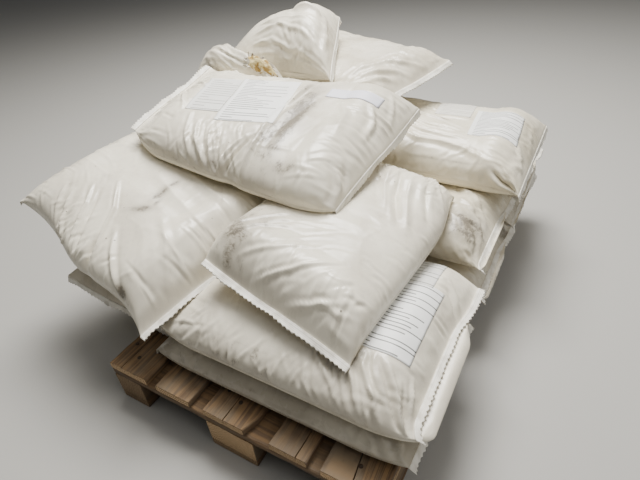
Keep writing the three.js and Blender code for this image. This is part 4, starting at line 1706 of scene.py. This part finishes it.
@dataclass(frozen=True)
class TornMouth:
    """The open tear in a sack's corner: spilled fill and curled shreds of film.

    Attributes:
        s: Place along the sack.
        a: Place across the sack.
        along: Half length of the tear in mm.
        across: Half width of the tear in mm.
        rise: Height of the heap of fill in mm.
        rings: Rings of points on the heap.
        spokes: Points in a ring.
        shreds: How many curled shreds stand round it.
        shred_grid: Points along and across a shred.
        shred_half: Half the thickness of a shred in mm.
    """

    s: float = 0.71
    a: float = -0.16
    along: float = 54.0
    across: float = 34.0
    rise: float = 7.5
    rings: int = 9
    spokes: int = 40
    shreds: int = 17
    shred_grid: tuple[int, int] = (9, 5)
    shred_half: float = 0.35

    def build(self, skin: SackSkin, spill: Material, film: Material) -> list[Object]:
        """Makes the heap of fill and the shreds.

        Args:
            skin: The torn sack's film.
            spill: The fill's material.
            film: The shreds' material.

        Returns:
            The heap and the shreds.
        """
        rng = np.random.default_rng(31)
        pieces = [self._heap(skin, rng, spill)]
        pieces += [self._shred(skin, number, rng, film) for number in range(self.shreds)]
        for piece in pieces:
            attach(piece, "root")
        return pieces

    def _round(self, skin: SackSkin, turn: Array | float, share: Array | float) -> Array:
        """Returns film points round the tear, at a turn in radians and a share of its size."""
        return skin.read(self.s + share * np.cos(turn) * self.along / skin.shape.length,
                         self.a + share * np.sin(turn) * self.across * 2 / skin.shape.girth)

    def _heap(self, skin: SackSkin, rng: np.random.Generator, spill: Material) -> Object:
        """Heaps the fill in the tear as rings of points that close to a tip.

        Args:
            skin: The torn sack's film.
            rng: Source of its unevenness.
            spill: The fill's material.

        Returns:
            The heap.
        """
        turn = np.linspace(0, 2 * math.pi, self.spokes, endpoint=False)
        ragged = 1 + 0.14 * np.sin(3 * turn + 1) + 0.1 * np.sin(7 * turn) + rng.normal(0, 0.04, self.spokes)
        r = np.linspace(1, 0.08, self.rings)[:, None]
        base = self._round(skin, turn, r * ragged)
        lumps = rng.normal(0, 0.7, (self.rings, self.spokes))
        top = base + UP * ((self.rise * (1 - r**2) + lumps * (1 - r**4))[..., None] - 0.6)
        under = base[0].mean(0) - UP * 9.0
        verts = np.concatenate([top.reshape(-1, 3), top[-1].mean(0)[None], under[None]])
        faces, tip = [], self.rings * self.spokes
        for j in range(self.spokes):
            k = (j + 1) % self.spokes
            for ring in range(0, tip - self.spokes, self.spokes):
                faces.append((ring + j, ring + k, ring + self.spokes + k, ring + self.spokes + j))
            faces.append((tip - self.spokes + j, tip - self.spokes + k, tip))
            faces.append((k, j, tip + 1))
        heap = new_object("sack_torn_fill", verts, faces)
        heap.data.materials.append(spill)
        return heap

    def _shred(self, skin: SackSkin, number: int, rng: np.random.Generator,
               film: Material) -> Object:
        """Makes one curled shred that grows from the tear's rim.

        Args:
            skin: The torn sack's film.
            number: The shred's number.
            rng: Source of its size and curl.
            film: Its material.

        Returns:
            The shred.
        """
        turn = 2 * math.pi * (number + rng.uniform(-0.3, 0.3)) / self.shreds
        length, width = rng.uniform(12, 26), rng.uniform(9, 18)
        root, near = self._round(skin, turn, np.array([1.0, 1.3]))
        out = (near - root) / max(np.linalg.norm(near - root), 1e-6)
        side = np.cross(out, UP)
        side /= max(np.linalg.norm(side), 1e-6)
        lift, curl = rng.uniform(0.5, 1.4), rng.uniform(-1.6, 1.2)
        steps, cols = self.shred_grid
        rows = []
        for t in np.linspace(0, 1, steps):
            bend = lift + curl * t
            mid = root + length * (out * (t * math.cos(bend * 0.7) - 0.12) + UP * t * math.sin(bend) * 0.7)
            half = width / 2 * (1 - 0.75 * t) * (1 + 0.25 * math.sin(9 * t + number))
            rows.append([mid + side * half * q + UP * 1.6 * math.sin(4 * q + number) * t
                         for q in np.linspace(-1, 1, cols)])
        grid = np.array(rows)
        half_film = grid_normals(grid) * self.shred_half
        piece = new_object(f"sack_torn_shred_{number + 1}", film_points(grid - half_film, grid + half_film),
                           closed_faces(steps, cols))
        set_uv(piece.data, "film", np.tile(grid[..., :2].reshape(-1, 2), (2, 1)) * MM)
        set_attribute(piece.data, "soil", np.full(2 * steps * cols, rng.uniform(0.1, 0.7)))
        piece.data.materials.append(film)
        return piece


@dataclass(frozen=True)
class Split:
    """A split in a board: place across in mm, reach from the front end, depth, slant."""

    at: float
    reach: float
    depth: float = 9.0
    slant: float = 0.0


@dataclass(frozen=True)
class Timber:
    """One sawn board or block, in place of its solid.

    Attributes:
        name: The solid's node.
        splits: Splits in its upper face.
        broken: Size of a broken front right corner, across and along, or nothing.
        chamfer: Wear of its edges in mm.
        dark: How dark it has gone, from 0 to 1.
        run_step: Spacing of its points along the grain, in mm.
        face_step: Their spacing across the upper face.
        sharp: Angle in degrees from which an edge is shaded sharp.
    """

    name: str
    splits: tuple[Split, ...] = ()
    broken: tuple[float, float] | None = None
    # dark: How much darker it is drawn, from 0 to 1; on the left blocks this is painted shade.
    chamfer: float = 2.6
    dark: float = 0.0
    run_step: float = 11.0
    face_step: float = 13.0
    sharp: float = 32.0

    def build(self, grain: Material, ends: Material) -> Object:
        """Saws the piece: a ring of points at each station, worn edges and ragged ends.

        Args:
            grain: The sawn faces' material.
            ends: The cross-cut ends' material.

        Returns:
            The piece, in place of its solid.
        """
        rng = np.random.default_rng(sum(map(ord, self.name)) + 5)
        lo, hi = (np.array(corner) * 1000 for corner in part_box(self.name))
        lengthways = 0 if self.name.startswith("cross_board") else 1
        across = 1 - lengthways
        size = hi[lengthways] - lo[lengthways]
        inner = np.linspace(6, size - 6, int(size / self.run_step))
        stations = np.concatenate([[0, 1.2], inner, [size - 1.2, size]])
        sides = (lo[across], hi[across], lo[2], hi[2])
        rings, soil = self._rings(rng, stations, sides)
        points = np.zeros(rings.shape)
        points[..., lengthways] = lo[lengthways] + rings[..., 2]
        points[..., across] = rings[..., 0]
        points[..., 2] = rings[..., 1]
        count, spots = rings.shape[:2]
        faces = []
        for i in range(0, (count - 1) * spots, spots):
            for k in range(spots):
                n = (k + 1) % spots
                faces.append((i + k, i + n, i + spots + n, i + spots + k))
        faces.append(tuple(reversed(range(spots))))
        faces.append(tuple((count - 1) * spots + k for k in range(spots)))
        piece = new_object(self.name + "_timber", points.reshape(-1, 3), faces)
        self._dress(piece, rings, soil, rng)
        piece.data.materials.append(grain)
        piece.data.materials.append(ends)
        for polygon in piece.data.polygons:
            polygon.material_index = int(len(polygon.vertices) > 4)
        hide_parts(self.name)
        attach(piece, "root")
        return piece

    def _marks(self, c0: float, c1: float) -> list[tuple[float, Split | None]]:
        """Places the points across the upper face, three of them at each split.

        Args:
            c0: One side in mm.
            c1: The other side.

        Returns:
            Each point's place from 0 to 1, with the split whose bottom it is.
        """
        wide = c1 - c0
        marks = [(q, None) for q in np.linspace(0, 1, max(5, int(wide / self.face_step)))]
        for split in self.splits:
            centre = (split.at - c0) / wide
            marks = [m for m in marks if m[1] is not None or abs(m[0] - centre) * wide > 7]
            marks += [(centre + w / wide, split if w == 0 else None) for w in (-1.5, 0, 1.5)]
        return sorted(marks, key=lambda m: m[0])

    def _rings(self, rng: np.random.Generator, stations: Array,
               sides: tuple[float, float, float, float]) -> tuple[Array, Array]:
        """Lays out the rings of points.

        Args:
            rng: Source of the unevenness.
            stations: Places of the rings along the grain, in mm.
            sides: The two sides, the underside and the top, in mm.

        Returns:
            Place across, height and place along of each point, and how soiled it is.
        """
        c0, c1, z0, z1 = sides
        size, last = stations[-1], len(stations) - 1
        inset = 1.1 * (np.minimum(stations, size - stations) < 1)
        marks = self._marks(c0, c1)
        centres = [(split, (split.at - c0) / (c1 - c0)) for split in self.splits]

        def wobble(steps: int, values: Array) -> Array:
            """Spreads a few values over the stations."""
            return np.interp(stations, np.linspace(0, size, steps), values)

        left = c0 + 0.2 + wobble(26, np.abs(rng.normal(0, 0.9, 26)))
        right = c1 - 0.2 - wobble(26, np.abs(rng.normal(0, 0.9, 26)))
        worn = [wobble(40, rng.uniform(0.5, 1.5, 40)) * self.chamfer for _ in range(4)]
        wander = wobble(9, rng.normal(0, 0.7, 9))
        snapped = right.copy()
        if self.broken:
            wide, long = self.broken
            edge = np.interp(stations, [0, long * 0.35, long], [wide, wide * 0.45, 0])
            snapped = right - edge - (edge > 0) * np.abs(rng.normal(0, 1.2, last + 1))
        ragged = {0: rng.uniform(0, 1.4, len(marks)), last: -rng.uniform(0, 1.4, len(marks))}
        rings, soil = [], []
        for i, run in enumerate(stations):
            lift, floor = z1 - inset[i], z0 + inset[i]
            a, b, whole = left[i] + inset[i], snapped[i] - inset[i], right[i] - inset[i]
            ring = [(a + worn[0][i], floor, run), (a + (b - a) * 0.33, floor, run),
                    (a + (b - a) * 0.67, floor, run), (b - worn[1][i], floor, run),
                    (b, floor + worn[1][i], run), (b, lift - worn[2][i], run)]
            dirt = [0.5, 0.5, 0.5, 0.5, 0.25, 0.1]
            for j, (q, split) in reversed(list(enumerate(marks))):
                c = min(a + (whole - a) * q, b - worn[2][i] - 0.8 * (len(marks) - 1 - j))
                c += worn[3][i] if q == 0 else 0
                for plan, centre in centres:
                    c += (wander[i] + plan.slant * run) * min(q / centre, (1 - q) / (1 - centre), 1)
                z, mark = lift - rng.uniform(0, 0.35), 0.0
                if split:
                    mark = float(1 - smoothstep(split.reach * 0.55, split.reach, np.array(run)))
                    z -= split.depth * mark
                ring.append((c, z, run + (ragged[i][j] if i in ragged else 0)))
                dirt.append(mark)
            rings.append(ring + [(a, lift - worn[3][i], run), (a, floor + worn[0][i], run)])
            soil.append(dirt + [0.1, 0.25])
        return np.array(rings), np.array(soil)

    def _dress(self, piece: Object, rings: Array, soil: Array,
               rng: np.random.Generator) -> None:
        """Sets the piece's UV map, dirt, tone and sharp edges; on the left blocks the tone is painted shade.

        Args:
            piece: The piece.
            rings: Its rings of points.
            soil: How soiled each point is.
            rng: Source of the pattern's place and the tone.
        """
        mesh = piece.data
        count, size = rings.shape[:2]
        middle = rings[count // 2]
        steps = np.linalg.norm(np.diff(np.vstack([middle, middle[:1]])[:, :2], axis=0), axis=1)
        girth = np.concatenate([[0], np.cumsum(steps)])
        shift = rng.uniform(0, 5, 2)
        uv = []
        for polygon in mesh.polygons:
            corners = [(v // size, v % size) for v in polygon.vertices]
            closing = len(corners) == 4 and {k for _, k in corners} == {0, size - 1}
            for i, k in corners:
                turn = girth[size] if closing and k == 0 else girth[k]
                uv.append((rings[i, k, 2] * MM + shift[0], turn * MM + shift[1]))
        mesh.uv_layers.new(name="grain").data.foreach_set("uv", np.array(uv).reshape(-1))
        set_attribute(mesh, "soil", soil.reshape(-1))
        # Tone: a random darkening plus dark, which on the left blocks is painted shade
        set_attribute(mesh, "tone", np.full(count * size, np.clip(self.dark + rng.uniform(0, 0.25), 0, 1)))
        work = bmesh.new()
        work.from_mesh(mesh)
        bmesh.ops.recalc_face_normals(work, faces=work.faces)
        work.to_mesh(mesh)
        work.free()
        mesh.set_sharp_from_angle(angle=math.radians(self.sharp))


@dataclass(frozen=True)
class NailHeads:
    """The nail heads in the deck boards, one mesh from a Geometry Nodes tree.

    Attributes:
        radius: Radius of a head in mm.
        height: Height of a head in mm.
        sunk: How deep a head sits in the board, in mm.
        tilt: Largest tilt in radians.
        sides: Sides of a head.
    """

    radius: float = 5.4
    height: float = 2.4
    sunk: float = 0.4
    tilt: float = 0.12
    sides: int = 14

    def _places(self) -> list[tuple[float, float, float]]:
        """Lays out the nails over the three cross boards.

        Returns:
            Their places in mm.
        """
        rng = np.random.default_rng(8)
        places = []
        for board in range(1, 6):
            lo, hi = (np.array(corner) * 1000 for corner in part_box(f"deck_board_{board}"))
            for row in ("front", "centre", "back"):
                low, high = (np.array(corner) * 1000 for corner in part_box(f"cross_board_{row}"))
                for n, share in enumerate((0.2, 0.5, 0.8)):
                    # The two narrow boards have no middle nail
                    if board in (2, 4) and n == 1:
                        continue
                    x = lo[0] + (hi[0] - lo[0]) * share + rng.normal(0, 3)
                    y = low[1] + (high[1] - low[1]) * (0.35 if n % 2 else 0.62) + rng.normal(0, 6)
                    places.append((x, y, hi[2] - self.sunk))
        return places

    def build(self, steel: Material) -> Object:
        """Makes the tree, runs it and keeps its result as a plain mesh.

        Args:
            steel: The heads' material.

        Returns:
            The heads as one piece.
        """
        mesh = bpy.data.meshes.new("nail_places")
        mesh.from_pydata([tuple(v * MM for v in place) for place in self._places()], [], [])
        host = bpy.data.objects.new("nail_places", mesh)
        bpy.context.scene.collection.objects.link(host)
        tree = bpy.data.node_groups.new("nail_heads", "GeometryNodeTree")
        tree.interface.new_socket("Places", in_out="INPUT", socket_type="NodeSocketGeometry")
        radius, height = (tree.interface.new_socket(name, in_out="INPUT", socket_type="NodeSocketFloat")
                          for name in ("Head radius", "Head height"))
        tree.interface.new_socket("Heads", in_out="OUTPUT", socket_type="NodeSocketGeometry")
        add = partial(add_node, tree)
        given = add("NodeGroupInput")
        points = add("GeometryNodeMeshToPoints", {"Mesh": given})
        head = add("GeometryNodeMeshCylinder", {
            "Vertices": self.sides, "Radius": given.outputs["Head radius"],
            "Depth": given.outputs["Head height"]})
        tilt = add("FunctionNodeRandomValue", {
            0: (-self.tilt, -self.tilt, 0.0), 1: (self.tilt, self.tilt, 3.0), "Seed": 3},
            data_type="FLOAT_VECTOR")
        heads = add("GeometryNodeInstanceOnPoints", {"Points": points, "Instance": head, "Rotation": tilt})
        real = add("GeometryNodeRealizeInstances", {"Geometry": heads})
        dressed = add("GeometryNodeSetMaterial", {"Geometry": real, "Material": steel})
        add("NodeGroupOutput", {"Heads": dressed})
        modifier = host.modifiers.new("nail_heads", "NODES")
        modifier.node_group = tree
        modifier[radius.identifier] = self.radius * MM
        modifier[height.identifier] = self.height * MM
        result = bpy.data.meshes.new_from_object(host.evaluated_get(bpy.context.evaluated_depsgraph_get()))
        bpy.data.objects.remove(host)
        piece = bpy.data.objects.new("deck_nail_heads", result)
        bpy.context.scene.collection.objects.link(piece)
        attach(piece, "root")
        return piece


ROWS, SIDES = ("front", "centre", "back"), ("left", "middle", "right")

TIMBERS: tuple[Timber, ...] = (
    Timber("deck_board_1", splits=(Split(-356, 420),)),
    Timber("deck_board_2", dark=0.1),
    Timber("deck_board_3", splits=(Split(-8, 520),), broken=(26, 120)),
    Timber("deck_board_4", splits=(Split(195, 360),), dark=0.1),
    Timber("deck_board_5", splits=(Split(330, 300, 8, -0.12),)),
    *(Timber(f"cross_board_{row}", dark=0.3) for row in ROWS),
    *(Timber(f"bottom_board_{side}", dark=0.35) for side in SIDES),
    # The left blocks are drawn darker: painted shade
    *(Timber(f"block_{row}_{side}", dark=0.5 if side == "left" else 0.0, chamfer=3.4)
      for row in ROWS for side in SIDES),
)


@dataclass(frozen=True)
class Lamp:
    """A square soft light: name, place and target in metres, size in metres, power in watts."""

    name: str
    place: tuple[float, float, float]
    target: tuple[float, float, float]
    size: float
    power: float


@dataclass(frozen=True)
class Studio:
    """Camera, pale floor and soft lights.

    Attributes:
        eye: The camera's place in metres.
        yaw: Its turn to the right of +Y in radians.
        pitch: How far it looks down.
        roll: Its roll.
        focal_px: Focal length in pixels of a frame 640 wide.
        frame_px: That width.
        sensor: Sensor width in mm.
        floor: The floor's colour.
        floor_half: Half the floor's width in mm.
        sky: Colour of the light from all round.
        sky_strength: Its strength.
        tint: Colour of the lamps.
        lamps: The lamps.
    """

    eye: tuple[float, float, float] = (0.5761, -1.0234, 1.1502)
    yaw: float = -0.5631215
    pitch: float = 0.6414145
    roll: float = -0.0878021
    focal_px: float = 481
    frame_px: float = 640
    sensor: float = 36
    floor: str = "#A8A6A1"
    floor_half: float = 9000
    sky: str = "#E8EAEC"
    sky_strength: float = 0.1
    tint: tuple[float, float, float] = (1.0, 0.985, 0.95)
    lamps: tuple[Lamp, ...] = (
        Lamp("key", (-0.6, 1.2, 3.4), (0, 0.1, 0.3), 1.7, 298),
        Lamp("ceiling", (0.2, 0.2, 3.8), (0.2, 0.2, 0), 5.0, 50),
        Lamp("fill", (2.4, -0.4, 2.6), (0, 0, 0.3), 2.0, 24))

    def build(self) -> None:
        """Adds the camera at the photograph's place, the floor and the lights."""
        self._camera()
        half = self.floor_half
        floor = new_object("floor", np.array(
            [[-half, -half, 0], [half, -half, 0], [half, half, 0], [-half, half, 0]]), [(0, 1, 2, 3)])
        pale, add = empty_material("floor")
        close_surface(add, rgb(self.floor), 0.7)
        floor.data.materials.append(pale)
        world = bpy.data.worlds.new("studio")
        world.use_nodes = True
        light = world.node_tree.nodes["Background"].inputs
        light["Color"].default_value = rgb(self.sky)
        light["Strength"].default_value = self.sky_strength
        bpy.context.scene.world = world
        for lamp in self.lamps:
            self._light(lamp)

    def _camera(self) -> None:
        """Turns the camera by its three angles and makes it the scene's own."""
        level = Vector((math.cos(self.yaw), -math.sin(self.yaw), 0))
        ahead = Vector((math.sin(self.yaw), math.cos(self.yaw), 0))
        forward = ahead * math.cos(self.pitch) - Vector((0, 0, math.sin(self.pitch)))
        rise = level.cross(forward)
        right = math.cos(self.roll) * level + math.sin(self.roll) * rise
        up = -math.sin(self.roll) * level + math.cos(self.roll) * rise
        data = bpy.data.cameras.new("camera")
        data.lens = self.focal_px * self.sensor / self.frame_px
        data.clip_end = 50
        camera = bpy.data.objects.new("camera", data)
        rows = [(right[n], up[n], -forward[n], self.eye[n]) for n in range(3)]
        camera.matrix_world = Matrix((*rows, (0, 0, 0, 1)))
        bpy.context.scene.collection.objects.link(camera)
        bpy.context.scene.camera = camera

    def _light(self, lamp: Lamp) -> None:
        """Adds a lamp.

        Args:
            lamp: Its plan.
        """
        data = bpy.data.lights.new(lamp.name, "AREA")
        data.size = lamp.size
        data.energy = lamp.power
        data.color = self.tint
        light = bpy.data.objects.new(lamp.name, data)
        light.location = lamp.place
        way = Vector(lamp.target) - Vector(lamp.place)
        light.rotation_euler = way.to_track_quat("-Z", "Y").to_euler()
        bpy.context.scene.collection.objects.link(light)


@dataclass(frozen=True)
class Pile:
    """The sacks, in the order they were laid.

    Attributes:
        sacks: Their plans.
        mouth: The tear in the torn one.
    """

    sacks: tuple[SackPlan, ...] = SACKS
    mouth: TornMouth = TornMouth()

    def build(self, nodes: dict[str, Object]) -> None:
        """Builds every sack with its seams and labels, and the torn one's mouth.

        Args:
            nodes: The frame's solids by name.
        """
        films = {grade: grade.value.build() for grade in FilmGrade}
        papers = {kind: kind.value.build() for kind in LabelKind}
        seam, neighbours = SeamFinish().build(), Neighbours(nodes)
        for plan in self.sacks:
            skin = SackSkin(SackShape(plan, nodes[plan.name]), neighbours.around(plan.name))
            skin.build_body(films[plan.grade])
            if not plan.hidden:
                skin.build_seams(seam)
            for index, label in enumerate(plan.labels):
                skin.build_label(index, label, papers[label.kind])
            if plan.name == "sack_torn":
                self.mouth.build(skin, SpillFinish().build(), films[plan.grade])
            LOG.info("%s: %d by %d points", plan.name, skin.rows, skin.cols)


@dataclass(frozen=True)
class PalletBase:
    """The timber pallet under the sacks.

    Attributes:
        timbers: Its boards and blocks.
        nails: Its nail heads.
    """

    timbers: tuple[Timber, ...] = TIMBERS
    nails: NailHeads = NailHeads()

    def build(self) -> None:
        """Builds every board and block, and the nail heads."""
        grain, ends = TimberFinish().build(), EndGrainFinish().build()
        pieces = [timber.build(grain, ends) for timber in self.timbers]
        pieces.append(self.nails.build(NailFinish().build()))
        for piece in pieces:
            LOG.info("%s: %d faces", piece.name, len(piece.data.polygons))


def main() -> None:
    """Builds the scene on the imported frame."""
    logging.basicConfig(level=logging.INFO, format="%(message)s")
    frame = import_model()
    Studio().build()
    Pile().build(frame["nodes"])
    PalletBase().build()


if __name__ == "__main__":
    main()
